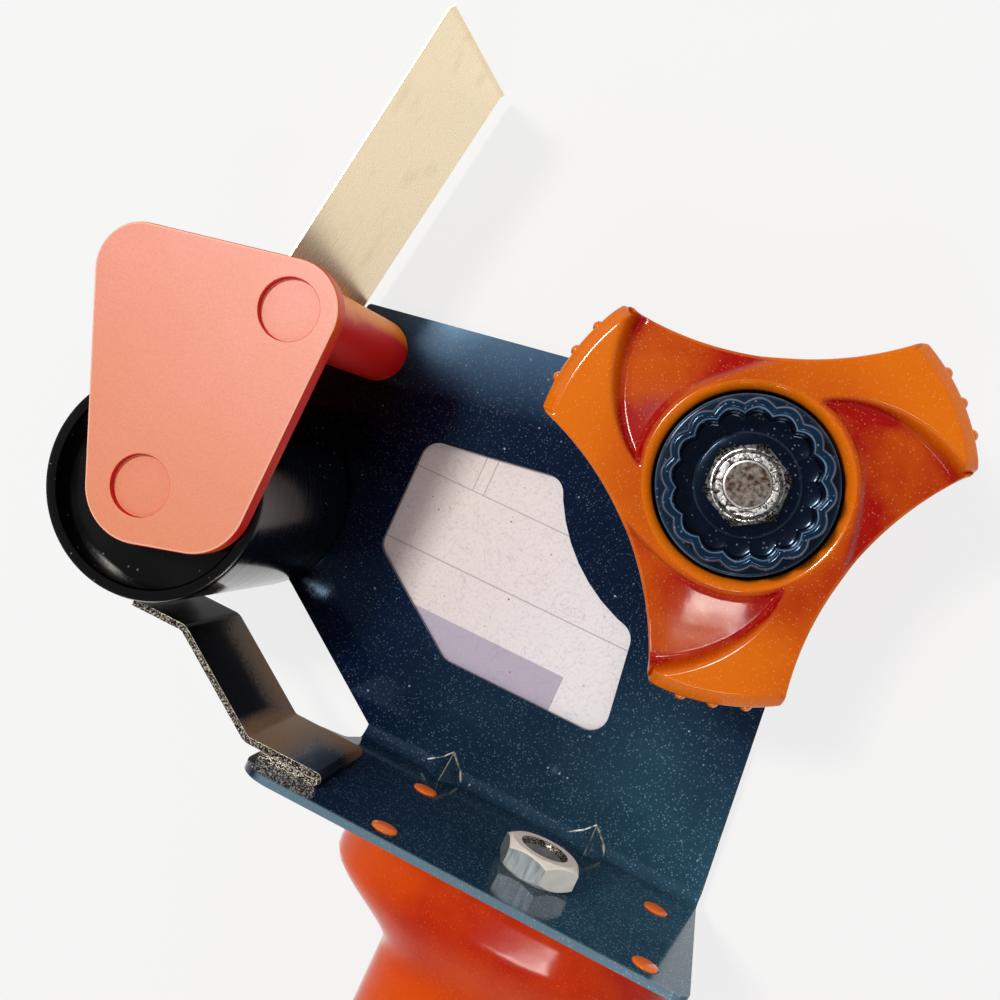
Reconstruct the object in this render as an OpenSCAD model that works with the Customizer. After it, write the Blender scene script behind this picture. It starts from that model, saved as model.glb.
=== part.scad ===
// Hand-held packing tape dispenser, lying on its side.
// The hub axis is the Z axis. +X points to the rear, +Y away from the handle.
// Z = 0 is the surface that the spindle's flat head rests on.

/* [Frame] */
// Thickness of the pressed sheet
sheet_t = 1.5; // [1:0.1:2.2]
// Inside radius of the folds
fold_r = 2.5; // [1.5:0.1:3.5]
// From the hub axis down to the top of the base
base_drop = 82; // [78:1:95]
// Width of the base from the inside of the side plate
base_w = 52.7; // [51:0.1:66]
// From the hub axis forward to the front edge of the base
base_front = 60; // [56:1:66]
// From the hub axis back to the rear edge of the base
base_rear = 27.7; // [25:0.1:36]
// Slope of the side plate's front edge
front_slope = 35; // [28:1:40]
// From the hub axis forward to the foot of the sloping front edge
front_foot = 51; // [46:1:54]
// Corner radius of the base at the front of its free edge
base_corner_r = 6.5; // [4:0.5:16]
// Width of each gusset pressed into the fold
gusset_w = 12.5; // [8:0.5:16]
// Height of each gusset up the side plate and along the base
gusset_h = 6; // [5:0.5:9]
// Height of the plate's top edge above the hub axis
plate_rise = 16.8; // [14:0.1:22]
// Slope of the plate's top edge
top_slope = 8.7; // [4:0.1:12]

/* [Window] */
// Clear radius that the plate keeps round the hub axis
window_hub_r = 37.5; // [30:0.1:42]
// From the hub axis forward to the window's front edge
window_front = 65; // [56:1:66]
// From the hub axis down to the window's top edge at its front corner
window_top = 17.2; // [14:0.1:24]
// From the hub axis forward to the window's rear corner
window_rear = 4.5; // [2:0.1:8]
// Height of the window's lower edge above the base
window_sill = 22.5; // [16:0.5:30]
// Corner radius of the window
window_corner_r = 4; // [2:0.5:5]
// How far the paper label reaches past the window
label_margin = 5; // [2:0.5:6]
// Thickness of the paper label
label_t = 0.15; // [0.1:0.05:0.3]

/* [Hub] */
// Radius of the lobe ends, for the bore of a tape core
hub_r = 37; // [35:0.1:37.2]
// Radius at the middle of the hollow between two lobes
hub_waist_r = 21.5; // [20.8:0.1:24]
// Half of the angle that a lobe's end spans
lobe_half = 18; // [14:1:24]
// Direction of the first lobe
lobe_turn = 46; // [0:1:119]
// Height of the hub's front face above the side plate
hub_front = 54; // [50:1:58]
// Wall of the moulded hub
hub_wall = 2.4; // [1.6:0.1:2.6]
// Radius of the well that holds the knob
well_r = 15.8; // [15.7:0.1:17]
// Depth of the well
well_depth = 18; // [16:1:22]
// How far the swirl's scoops fall from the collar to the lobe ends
scoop_fall = 5; // [2:0.5:6]
// Ribs that grip the core on each lobe's end
grip_ribs = 3; // [2:1:6]
// Height of a grip rib
grip_rib_h = 0.9; // [0.4:0.1:0.9]
// How far the lead-in on the lobe ends runs in from their radius
lead_in = 2.5; // [1:0.1:3]
// How far it falls
lead_fall = 2.2; // [1:0.1:3]

/* [Spindle and brake] */
// Radius of the spindle where the hub turns
spindle_r = 5; // [4.6:0.1:6]
// Radius of the spindle's flat head
spindle_head_r = 8; // [7:0.5:10]
// Height of the flat heads on the outside of the side plate
head_h = 2.5; // [1.5:0.1:4]
// Wall of the hub's bearing sleeve
bush_wall = 1.5; // [1:0.1:2]
// Thickness of the friction washer behind the hub
thrust_t = 1.6; // [1:0.1:2.5]
// Radius of the knob's scallops
knob_r = 14.2; // [13:0.1:14.4]
// Number of scallops round the knob
knob_scallops = 16; // [12:1:24]
// Wall of the knob
knob_wall = 2; // [1.2:0.1:2.2]
// Height of the knob above the hub's front face
knob_rise = 6.5; // [4:0.5:10]
// Depth of the knob's dish below its rim
knob_dish = 8.5; // [6:0.5:10]
// Height of the smooth ring at the foot of the knob
knob_ring_h = 6; // [2:0.5:6.5]
// Diameter of the brake spring's wire
spring_wire = 1.5; // [1:0.1:1.6]
// Mean radius of the brake spring
spring_r = 8; // [7.2:0.1:9]
// Turns of the brake spring
spring_turns = 4.25; // [3:0.25:4.25]

/* [Roller and guard] */
// From the hub axis forward to the roller axis
roller_x = 95.3; // [93:0.1:100]
// From the hub axis down to the roller axis
roller_y = 44.2; // [42:0.1:47]
// Radius of the roller
roller_r = 21; // [17:0.5:21.5]
// Wall of the roller
roller_wall = 2.5; // [2:0.1:4]
// Depth of the hollow at each end of the roller
roller_hollow = 4; // [2:0.5:8]
// From the hub axis forward to the upper post
post_x = 83.3; // [81:0.1:84]
// From the hub axis down to the upper post
post_y = 5.2; // [4:0.1:8]
// Radius of the upper post
post_r = 6.7; // [5:0.1:7]
// Radius of the roller's axle
axle_r = 6; // [4.5:0.1:7]
// Thickness of the guard plate
cheek_t = 4.3; // [3:0.1:6]
// Height of the guard's outer face above the side plate
cheek_front = 58; // [57:0.5:64]
// Radius of the guard's corner at the roller axis
cheek_roller_r = 10.5; // [9:0.1:13]
// Radius of the guard's corner at the upper post
cheek_post_r = 9; // [8.8:0.1:10]
// Radius of the guard's corner in front of the blade
cheek_nose_r = 8.3; // [7:0.1:10]
// Radius of the shallow round recesses in the guard's face
recess_r = 5.6; // [4:0.1:6.5]
// Depth of those recesses
recess_depth = 1.5; // [0.5:0.1:2]

/* [Wiper and blade] */
// Thickness of the wiper's spring steel
wiper_t = 0.5; // [0.3:0.1:0.8]
// Width of the wiper
wiper_w = 50; // [44:1:51]
// Length of the wiper's flat plate
wiper_len = 54; // [40:1:70]
// Lean of the wiper towards the rear
wiper_lean = 9.5; // [4:0.5:14]
// Length of the bent lip at the wiper's tip
lip_len = 1; // [1:0.5:5]
// Thickness of the cutter blade
blade_t = 0.8; // [0.5:0.1:1.2]
// Teeth of the cutter blade
blade_teeth = 16; // [10:1:24]
// Depth of a tooth
tooth_depth = 2.2; // [1:0.1:3]
// Length of the frame's tab that carries blade and wiper
tab_len = 20; // [17:0.5:21]

/* [Tape tongue] */
// Thickness of the tongue's strip
tongue_t = 1.25; // [0.8:0.05:1.4]
// Width of the tongue
tongue_w = 27; // [16:1:36]
// Length of the flat tip under the roller
tongue_tip = 11; // [8:0.5:14]
// Gap between the tip and the roller for the tape
tape_gap = 1; // [0.6:0.1:2]
// Slope of the tongue's ramp
ramp_slope = 34; // [28:1:40]
// From the hub axis forward to the hem of the tongue
hem_x = 47; // [44:1:50]
// Length of the hem's lower leg
hem_len = 12; // [8:0.5:12]

/* [Handle] */
// Length of the handle
handle_len = 107; // [95:1:130]
// Front-to-back width of the grip
grip_w = 38.4; // [32:0.2:44]
// Side-to-side width of the grip
grip_d = 33; // [28:1:38]
// How far the handle flares out under the base, front and back
flare_out = 15; // [6:1:15]
// Length of the flare
flare_len = 13; // [10:1:24]
// From the hub axis forward to the handle's bolt
bolt_x = 5; // [4:0.1:9]
// Spacing of the pegs along the base
peg_pitch_x = 51; // [44:1:54]
// Spacing of the pegs across the base
peg_pitch_z = 31.5; // [26:0.5:34]
// Radius of a peg
peg_r = 2.5; // [2:0.1:3]
// Depth of the counterbore for the bolt's head
counterbore_depth = 12; // [9:0.5:18]

/* [Fasteners] */
// Diameter of the spindle's thread and of the handle bolt
bolt_d = 8; // [6:0.5:8]
// Width across flats of the brake nut and of the handle bolt's head
nut_af = 13; // [12:0.5:14]
// Height of the brake nut
nut_h = 6.5; // [5:0.1:7]
// Width across flats of the handle bolt's nut
handle_nut_af = 14; // [12:0.5:15]
// Height of the handle bolt's nut
handle_nut_h = 5.3; // [5:0.1:7]
// Height of the handle bolt's head
bolt_head_h = 5.3; // [4:0.1:6]
// Radius of the flat washer under that head
washer_r = 8.5; // [8.2:0.1:9.5]
// Thickness of that washer
washer_t = 1.6; // [1:0.1:2]
// Diameter of the small screws
screw_d = 4; // [3:0.5:4]
// Radius of the small screws' heads
screw_head_r = 4; // [3.2:0.1:4.6]
// Clearance round screws and pegs in their holes
hole_gap = 0.1; // [0.05:0.05:0.3]
// Radial clearance of a turning fit
run_gap = 0.06; // [0.03:0.01:0.1]

/* [Hidden] */
$fn = 96;

orange = [0.85, 0.36, 0.06];
coral = [0.93, 0.50, 0.40];
enamel = [0.05, 0.09, 0.14];
black = [0.06, 0.06, 0.06];
steel = [0.78, 0.77, 0.74];
paper = [0.88, 0.87, 0.92];

// Levels above the rest surface
plate_z = head_h + sheet_t;
fold_outer = fold_r + sheet_t;
base_y = -base_drop;
base_under = base_y - sheet_t;
handle_end = base_under - handle_len;
cheek_back = plate_z + cheek_front - cheek_t;

// Directions in the plane of the side plate
function along(a) = [cos(a), sin(a)];
function unit(v) = v / norm(v);
function flat(c) = [c.x, c.y];
function reversed(p) = [for (i = [len(p) - 1 : -1 : 0]) p[i]];

// Arc that rounds corner b between a and c to radius r
function corner_arc(a, b, c, r, n = 8) =
    let (
        u = unit(a - b),
        v = unit(c - b),
        half = acos(u * v) / 2,
        m = b + unit(u + v) * r / sin(half),
        p = b + u * r / tan(half) - m,
        q = b + v * r / tan(half) - m,
        from = atan2(p.y, p.x),
        sweep = (atan2(q.y, q.x) - from + 540) % 360 - 180
    )
    [for (i = [0 : n]) m + r * along(from + sweep * i / n)];

// Closed outline from corners [x, y, radius]
function rounded(c) =
    [for (i = [0 : len(c) - 1])
        let (a = c[(i + len(c) - 1) % len(c)], b = c[i], d = c[(i + 1) % len(c)])
        each (b.z > 0 ? corner_arc(flat(a), flat(b), flat(d), b.z) : [flat(b)])];

// Open path from corners [x, y, radius], each point once
function bent(c) = distinct(
    [for (i = [0 : len(c) - 1])
        let (ends = i == 0 || i == len(c) - 1)
        each (ends || c[i].z == 0 ? [flat(c[i])]
            : corner_arc(flat(c[i - 1]), flat(c[i]), flat(c[i + 1]), c[i].z))]);
function distinct(p) = [for (i = [0 : len(p) - 1]) if (i == 0 || norm(p[i] - p[i - 1]) > 0.001) p[i]];

// One side of a path, w away from it
function side_line(p, w) =
    [for (i = [0 : len(p) - 1])
        let (
            a = unit(i == 0 ? p[1] - p[0] : p[i] - p[i - 1]),
            b = unit(i == len(p) - 1 ? p[i] - p[i - 1] : p[i + 1] - p[i]),
            m = unit(a + b)
        )
        p[i] + w / (m * a) * [-m.y, m.x]];

// Outline of a bent strip of thickness t
function strip(c, t) = let (p = bent(c)) concat(side_line(p, t / 2), reversed(side_line(p, -t / 2)));

// Shapes drawn in other planes
module in_xz(y_top, t) translate([0, y_top, 0]) rotate([90, 0, 0]) linear_extrude(t) children();
module along_x(x0, x1) translate([x0, 0, 0]) rotate([90, 0, 90]) linear_extrude(x1 - x0) children();
module up_y(y0) translate([0, y0, 0]) rotate([-90, 0, 0]) children();

// Quarter ring of sheet round a fold
module quarter_fold() intersection() {
    difference() {
        circle(fold_outer);
        circle(fold_r);
    }
    translate([-fold_outer, -fold_outer]) square(fold_outer);
}

// Hexagon with its corners chamfered at both ends
module hex_body(af, h, both = true) {
    corner = af / sqrt(3);
    face_r = af / 2 * 0.92;
    fall = (corner - face_r) * tan(35);
    intersection() {
        cylinder(r = corner, h = h, $fn = 6);
        rotate_extrude() polygon([[0, 0], [both ? face_r : corner, 0], [corner, both ? fall : 0],
            [corner, h - fall], [face_r, h], [0, h]]);
    }
}

module ring(r_out, r_in, h) difference() {
    cylinder(r = r_out, h = h);
    translate([0, 0, -1]) cylinder(r = r_in, h = h + 2);
}

// Round head with softened edge, its flat top at h
module pan_head(r, h) rotate_extrude()
    polygon([[0, 0], [r, 0], [r, h * 0.5], [r * 0.9, h * 0.85], [r * 0.75, h], [0, h]]);

// Guard outline: three round corners, shared with the arm behind it
roller_at = [-roller_x, -roller_y];
post_at = [-post_x, -post_y];
nose_reach = 28.8;
heel_reach = 10;
nose_at = post_at + nose_reach * along(180 + 8.8);
heel_at = roller_at + heel_reach * along(14);
cheek_top_slope = 11.4;

// Tab for blade and wiper: its frame has u along the tab and n up from its top
tab_drop = 3.4;
tab_slope = cheek_top_slope;
tab_set = 7.4;
tab_end = post_at + (cheek_post_r - tab_drop) * along(90 + tab_slope) - tab_set * along(tab_slope);
tab_root = 1;
tab_notch = 0.8;
blade_screw_u = -10.5;
blade_screw_z = [13, 39];
module at_tab(u = 0, n = 0) translate(tab_end) rotate(tab_slope) translate([u, n, 0]) children();
function tab_point(u, n) = tab_end + u * along(tab_slope) + n * along(90 + tab_slope);

// Corners of the side plate
top_dir = along(top_slope);
top_at = function (x) plate_rise + x * tan(top_slope);
front_dir = along(180 - front_slope);
foot_at = [-front_foot, base_y + fold_r];
front_run = 37.5;
elbow = foot_at + front_run * front_dir;
arm_r = 17;
plate_corners = [
    [foot_at.x, foot_at.y, 0],
    [elbow.x, elbow.y, 6],
    [roller_at.x - 4, roller_at.y - arm_r, 12],
    [roller_at.x - arm_r, roller_at.y + 2, 10],
    concat(tab_point(-tab_len - 2, -10), [4]),
    concat(tab_point(-tab_len - tab_notch, -fold_outer - tab_root), [0]),
    concat(tab_point(tab_notch, -fold_outer - tab_root), [0]),
    concat(tab_point(2 * tab_notch, -1.5), [1]),
    [tab_end.x + 2.2, top_at(tab_end.x + 2.2), 1],
    [base_rear - 11.7, top_at(base_rear - 11.7), 14],
    [base_rear - 0.3, base_y + fold_r, 0]
];

// Corners of the window: one side runs round the hub, between the top edge and a rear edge square to it
sill_y = base_y + window_sill;
window_high = [-window_front, -window_top - 1];
window_low = [-window_rear, sill_y];
arc_from = top_slope + 180 - asin(along(top_slope + 90) * window_high / window_hub_r);
arc_to = top_slope + 270 - asin(along(top_slope + 180) * window_low / window_hub_r);
arc_steps = 8;
window_corners = concat(
    [concat(window_high, [window_corner_r])],
    [for (i = [0 : arc_steps])
        concat(window_hub_r * along(arc_from + (arc_to - arc_from) * i / arc_steps),
            [i % arc_steps == 0 ? window_corner_r : 0])],
    [
        concat(window_low, [window_corner_r]),
        [-42, sill_y, window_corner_r],
        [-window_front, -43.5, window_corner_r]
    ]
);

bolt_set = 4.9;
peg_z = plate_z + base_w / 2 + bolt_set;
bolt_at = [-bolt_x, peg_z];
grip_set = 1.4;
grip_at = [bolt_at.x - grip_set, peg_z];
module at_pegs() for (i = [-1, 1], k = [-1, 1])
    translate([grip_at.x + i * peg_pitch_x / 2, grip_at.y + k * peg_pitch_z / 2]) children();
gusset_x = [-31.5, 2.2];

module gusset(x) {
    sink = sheet_t / 3;
    low = base_y - sink;
    back = plate_z - sink;
    reach = gusset_h + sink;
    polyhedron(
        [[x - gusset_w / 2, low, back], [x + gusset_w / 2, low, back],
            [x, low + reach, back], [x, low, back + reach]],
        [[0, 1, 2], [0, 3, 1], [0, 2, 3], [1, 3, 2]]
    );
}

module frame() color(enamel) {
    // Side plate with its window and holes
    difference() {
        translate([0, 0, head_h]) linear_extrude(sheet_t) difference() {
            polygon(rounded(plate_corners));
            polygon(rounded(window_corners));
        }
        translate([0, 0, head_h - 1]) {
            cylinder(r = spindle_r + hole_gap, h = sheet_t + 2);
            for (p = [roller_at, post_at])
                translate(p) cylinder(r = screw_d / 2 + hole_gap, h = sheet_t + 2);
        }
    }
    // Fold and base
    along_x(foot_at.x, base_rear - 0.3) translate([base_y + fold_r, plate_z + fold_r]) quarter_fold();
    difference() {
        in_xz(base_y, sheet_t) polygon(rounded([
            [foot_at.x, plate_z + fold_r, 0],
            [base_rear - 0.3, plate_z + fold_r, 0],
            [base_rear, plate_z + base_w, 3],
            [-base_front, plate_z + base_w, base_corner_r],
            [-base_front, plate_z + fold_r + 7, 3],
            [foot_at.x - 2, plate_z + fold_r + 5, 2]
        ]));
        in_xz(base_y + 1, sheet_t + 2) {
            at_pegs() circle(peg_r + hole_gap);
            translate(bolt_at) circle(bolt_d / 2 + hole_gap);
        }
    }
    for (x = gusset_x) gusset(x);
    // Tab across the tape's path, with its fold
    at_tab() {
        difference() {
            translate([-tab_len, -sheet_t, plate_z + fold_r]) cube([tab_len, sheet_t, wiper_w - fold_r]);
            for (z = blade_screw_z) translate([blade_screw_u, 0, plate_z + z]) rotate([90, 0, 0])
                cylinder(r = screw_d / 2 + hole_gap, h = 4 * sheet_t, center = true);
        }
        along_x(-tab_len, 0) {
            translate([-fold_outer, plate_z + fold_r]) mirror([1, 0]) quarter_fold();
            translate([-fold_outer - 3 * tab_root, head_h]) square([3 * tab_root, sheet_t]);
        }
    }
}

// Tongue: tip under the roller, ramp, and a hem folded under on the base
hem_slit = 0.1;
leg_low = base_y + tongue_t / 2;
leg_high = leg_low + tongue_t + hem_slit;
tip_y = -roller_y - roller_r - tape_gap - tongue_t / 2;
tip_back = -roller_x + 2.3 + tongue_tip;
ramp_foot = tip_back + (tip_y - leg_high) / tan(ramp_slope);
tongue_z = plate_z + 18;
module tape_tongue() color(black) translate([0, 0, tongue_z]) linear_extrude(tongue_w)
    polygon(strip([
        [tip_back - tongue_tip, tip_y, 0],
        [tip_back, tip_y, 2.5],
        [ramp_foot, leg_high, 2.5],
        [-hem_x, leg_high, (leg_high - leg_low) / 2],
        [-hem_x, leg_low, (leg_high - leg_low) / 2],
        [-hem_x - hem_len, leg_low, 0]
    ], tongue_t));

module side_label() color(paper) translate([0, 0, head_h - label_t]) linear_extrude(label_t)
    polygon(rounded([
        [-window_front - label_margin, -12, 3],
        [-window_rear + label_margin, -12, 3],
        [-window_rear + label_margin, sill_y - label_margin, 3],
        [-window_front - label_margin, sill_y - label_margin, 3]
    ]));

// Grip: rings down its length, drawn in below the flare and rounded at the end
grip_sides = 32;
end_round = 3;
function ease(t) = let (s = min(max(t, 0), 1)) s * s * (3 - 2 * s);
flare_lip = 7.5;
flare_depth = 0.3;
end_swell = 1.6;
function grip_swell(s) = flare_out * (1 - ease((s - flare_lip) / flare_len))
    + end_swell * ease((s - handle_len + 45) / 38);
function grip_inset(s) =
    let (t = max(0, s - handle_len + end_round))
    end_round - sqrt(max(0, end_round ^ 2 - t ^ 2));
flare_end = flare_lip + flare_len;
grip_steps = concat(
    [0, flare_lip / 2],
    [for (k = [0 : 7]) flare_lip + k * flare_len / 7],
    [for (k = [1 : 8]) flare_end + k * (handle_len - end_round - flare_end) / 8],
    [for (a = [30, 60, 85]) handle_len - end_round + end_round * sin(a)]
);
function grip_point(s, a) =
    let (
        w = grip_w / 2 + grip_swell(s) - grip_inset(s),
        d = grip_d / 2 + grip_swell(s) * flare_depth - grip_inset(s),
        k = (abs(cos(a)) ^ 2.6 + abs(sin(a)) ^ 2.6) ^ (-1 / 2.6)
    )
    [grip_at.x + w * k * cos(a), base_under - s, grip_at.y + d * k * sin(a)];
module grip_form() {
    n = grip_sides;
    rings = len(grip_steps);
    polyhedron(
        [for (s = grip_steps) for (j = [0 : n - 1]) grip_point(s, 360 * j / n)],
        concat(
            [[for (j = [0 : n - 1]) j]],
            [for (k = [0 : rings - 2], j = [0 : n - 1])
                let (a = k * n + j, b = k * n + (j + 1) % n)
                each [[a, a + n, b], [b, a + n, b + n]]],
            [[for (j = [n - 1 : -1 : 0]) (rings - 1) * n + j]]
        )
    );
}
counterbore_r = washer_r + 1;
counterbore_y = handle_end + counterbore_depth;
module handle() color(orange) {
    difference() {
        grip_form();
        in_xz(base_under + 1, handle_len + 2) translate(bolt_at) circle(bolt_d / 2 + hole_gap);
        in_xz(counterbore_y, counterbore_depth + 1) translate(bolt_at) circle(counterbore_r);
    }
    in_xz(base_y, sheet_t + 1) at_pegs() circle(peg_r);
}

bolt_seat = counterbore_y - washer_t;
module handle_bolt() color(steel) translate([bolt_at.x, 0, bolt_at.y]) {
    up_y(bolt_seat) cylinder(d = bolt_d, h = base_y + handle_nut_h - 1 - bolt_seat);
    up_y(bolt_seat - bolt_head_h) mirror([0, 0, 1]) translate([0, 0, -bolt_head_h])
        hex_body(nut_af, bolt_head_h, false);
}
module handle_bolt_washer() color(steel) translate([bolt_at.x, 0, bolt_at.y]) up_y(bolt_seat)
    ring(washer_r, bolt_d / 2 + hole_gap, washer_t);
module handle_nut() color(steel) translate([bolt_at.x, 0, bolt_at.y]) up_y(base_y) difference() {
    rotate(30) hex_body(handle_nut_af, handle_nut_h);
    translate([0, 0, -1]) cylinder(r = bolt_d / 2 + run_gap, h = handle_nut_h + 2);
}

// Levels of the hub and its brake
hub_z = plate_z + thrust_t;
hub_face = plate_z + hub_front;
well_floor = hub_face - well_depth;
disc_t = 1.5;
cap_t = 1.2;
knob_rim = hub_face + knob_rise;
dish_floor = knob_rim - knob_dish;
knob_web = 3;
knob_under = dish_floor - knob_web;
nut_pocket = 1.5;
nut_z = dish_floor - nut_pocket;
spindle_end = nut_z + nut_h + 0.3;
flat_w = bolt_d * 0.82;
bush_r = spindle_r + run_gap + bush_wall;
sleeve_r = bush_r + hub_wall;

module hub_spindle() color(steel) {
    difference() {
        union() {
            rotate_extrude() polygon([[0, 0], [spindle_head_r - 0.5, 0], [spindle_head_r, 0.5],
                [spindle_head_r, head_h], [spindle_r, head_h], [spindle_r, well_floor], [0, well_floor]]);
            cylinder(d = bolt_d, h = spindle_end);
        }
        // Two flats that stop the brake disc from turning
        for (a = [0, 180]) rotate(a) translate([flat_w / 2, -bolt_d, well_floor])
            cube([bolt_d, 2 * bolt_d, knob_under - well_floor]);
    }
}

module hub_thrust_washer() color(black) translate([0, 0, plate_z])
    ring(sleeve_r + 3, spindle_r + hole_gap, thrust_t);

// Lobed outline, drawn in by w: arcs of the lobe ends and of the hollows between them
hollow_at = (hub_r ^ 2 - hub_waist_r ^ 2) / (2 * (hub_r * cos(60 - lobe_half) - hub_waist_r));
hollow_r = hollow_at - hub_waist_r;
function hub_outline(w) =
    let (
        r = hub_r - w,
        h = hollow_r + w,
        edge = acos((r ^ 2 + hollow_at ^ 2 - h ^ 2) / (2 * r * hollow_at)),
        lean = asin(r * sin(edge) / h)
    )
    [for (k = [0 : 2])
        let (lobe = lobe_turn + 120 * k, middle = hollow_at * along(lobe + 60))
        each concat(
            [for (i = [0 : 12]) r * along(lobe + (60 - edge) * (i / 6 - 1))],
            [for (i = [1 : 15]) middle + h * along(lobe + 240 + lean * (1 - i / 8))]
        )];

// Plan of one scoop: from its point at the collar out along the crease, and back past the crest
collar_w = 1.4;
collar_r = well_r + collar_w;
scoop_lip = 0.4;
scoop_rate = (scoop_fall - scoop_lip) / (hub_r - collar_r);
scoop_level = function (r) hub_face - scoop_lip - scoop_rate * (r - collar_r);
crease_turn = 24;
crease_rate = 2.71;
crease_set = 3.3;
crease_at = function (r) crease_turn - crease_rate * (r - collar_r - crease_set);
crest_out = 8.5;
crest_at = function (a) collar_r + crest_out * max(0, (-a - 10) / 76) ^ 3 + max(0, (-a - 72) / 6) ^ 2;
scoop_plan = concat(
    [for (i = [0 : 10])
        let (r = collar_r + crease_set - 0.2 + i * (hub_r - collar_r) / 9)
        r * along(crease_at(r))],
    [for (a = [-45, -60, -75]) (hub_r + 4) * along(a)],
    [for (a = [-84 : 8 : 20]) crest_at(a) * along(a)]
);
module scoop() intersection() {
    translate([0, 0, hub_face - scoop_fall - 2]) linear_extrude(scoop_fall + 4) polygon(scoop_plan);
    rotate_extrude() polygon([
        [well_r - 1, scoop_level(well_r - 1)],
        [hub_r + 5, scoop_level(hub_r + 5)],
        [hub_r + 5, hub_face + 2],
        [well_r - 1, hub_face + 2]
    ]);
}

rib_set = 2;
rib_spread = 1.9;
module hub() color(orange) {
    cavity_top = hub_face - scoop_fall - hub_wall;
    difference() {
        union() {
            translate([0, 0, hub_z]) linear_extrude(hub_face - hub_z) polygon(hub_outline(0));
            for (k = [0 : 2], i = [1 : grip_ribs])
                rotate(lobe_turn + 120 * k + lobe_half * rib_spread * (i / (grip_ribs + 1) - 0.5))
                    translate([hub_r - 0.2, 0, hub_z + 3])
                        cylinder(r = grip_rib_h + 0.2, h = hub_face - hub_z - 3 - rib_set, $fn = 24);
        }
        // Hollow behind the face, round the well's wall and the bearing sleeve
        difference() {
            translate([0, 0, hub_z - 1]) linear_extrude(cavity_top - hub_z + 1)
                polygon(hub_outline(hub_wall));
            translate([0, 0, well_floor - hub_wall]) cylinder(r = well_r + hub_wall - 0.4, h = hub_front);
            translate([0, 0, hub_z - 2]) cylinder(r = sleeve_r, h = hub_front);
        }
        translate([0, 0, well_floor]) cylinder(r = well_r, h = well_depth + 1);
        translate([0, 0, hub_z - 1]) cylinder(r = bush_r, h = hub_front);
        for (k = [0 : 2]) rotate(lobe_turn + 120 * k) scoop();
        // Lead-in for the core round the lobe ends
        rotate_extrude() polygon([
            [hub_r - 2 * lead_in, hub_face + lead_fall],
            [hub_r + lead_in, hub_face - 2 * lead_fall],
            [hub_r + lead_in, hub_face + lead_fall]
        ]);
    }
}

module hub_bush() color(paper) translate([0, 0, hub_z])
    ring(bush_r, spindle_r + run_gap, well_floor - hub_z);

module brake_disc() color(steel) translate([0, 0, well_floor]) difference() {
    cylinder(r = spring_r + 3.5, h = disc_t);
    translate([0, 0, -1]) intersection() {
        cylinder(r = bolt_d / 2 + hole_gap, h = disc_t + 2);
        translate([-flat_w / 2 - hole_gap, -bolt_d, 0])
            cube([flat_w + 2 * hole_gap, 2 * bolt_d, disc_t + 2]);
    }
}

// Brake spring: one tube along a helix from the disc to the cap washer
spring_low = well_floor + disc_t + spring_wire / 2 + hole_gap;
spring_high = knob_under - cap_t - spring_wire / 2 - hole_gap;
rings_per_turn = 8;
tube_sides = 6;
spring_rings = round(spring_turns * rings_per_turn);
function spring_at(i) = concat(spring_r * along(360 * i / rings_per_turn),
    [spring_low + (spring_high - spring_low) * i / spring_rings]);
function spring_ring(i) =
    let (out = concat(along(360 * i / rings_per_turn), [0]))
    [for (j = [0 : tube_sides - 1]) let (a = 360 * j / tube_sides)
        spring_at(i) + spring_wire / 2 * (cos(a) * out + [0, 0, sin(a)])];
spring_gap = min([for (i = [0 : spring_rings], j = [i + rings_per_turn / 2 : spring_rings])
    norm(spring_at(j) - spring_at(i))]) - spring_wire;
module brake_spring() color(steel) {
    n = tube_sides;
    polyhedron(
        [for (i = [0 : spring_rings]) each spring_ring(i)],
        concat(
            [for (j = [1 : n - 2]) [0, j, j + 1]],
            [for (i = [0 : spring_rings - 1], j = [0 : n - 1])
                let (a = i * n + j, b = i * n + (j + 1) % n)
                each [[a, a + n, b], [b, a + n, b + n]]],
            [for (j = [1 : n - 2]) [spring_rings * n, spring_rings * n + j + 1, spring_rings * n + j]]
        )
    );
    echo(least_gap_in_the_brake_spring = spring_gap);
}

module spring_cap_washer() color(steel) translate([0, 0, knob_under - cap_t])
    ring(spring_r + 2.5, bolt_d / 2 + hole_gap, cap_t);

// Knob: scalloped wall round a dish, on a smooth ring
scallop_h = 1;
scallop_turn = 16;
nut_turn = 32;
ring_out = 1.1;
function knob_outline(w) = [for (i = [0 : knob_scallops * 6 - 1])
    (knob_r - w - scallop_h + scallop_h * abs(cos(30 * i))) * along(scallop_turn + 60 * i / knob_scallops)];
module brake_knob() color(enamel) {
    ring_z = knob_under - 2;
    difference() {
        union() {
            translate([0, 0, ring_z]) cylinder(r = knob_r + ring_out, h = knob_ring_h);
            translate([0, 0, ring_z + knob_ring_h - 0.5])
                linear_extrude(knob_rim - ring_z - knob_ring_h + 0.5) polygon(knob_outline(0));
        }
        translate([0, 0, dish_floor]) linear_extrude(knob_dish + 1) polygon(knob_outline(knob_wall));
        translate([0, 0, nut_z]) rotate(nut_turn)
            cylinder(r = (nut_af + hole_gap) / sqrt(3), h = knob_dish, $fn = 6);
        translate([0, 0, ring_z - 1])
            cylinder(r = spring_r + 2.5 + 2 * hole_gap, h = knob_under - ring_z + 1);
        translate([0, 0, ring_z]) cylinder(r = bolt_d / 2 + run_gap, h = knob_dish);
    }
}

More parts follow.
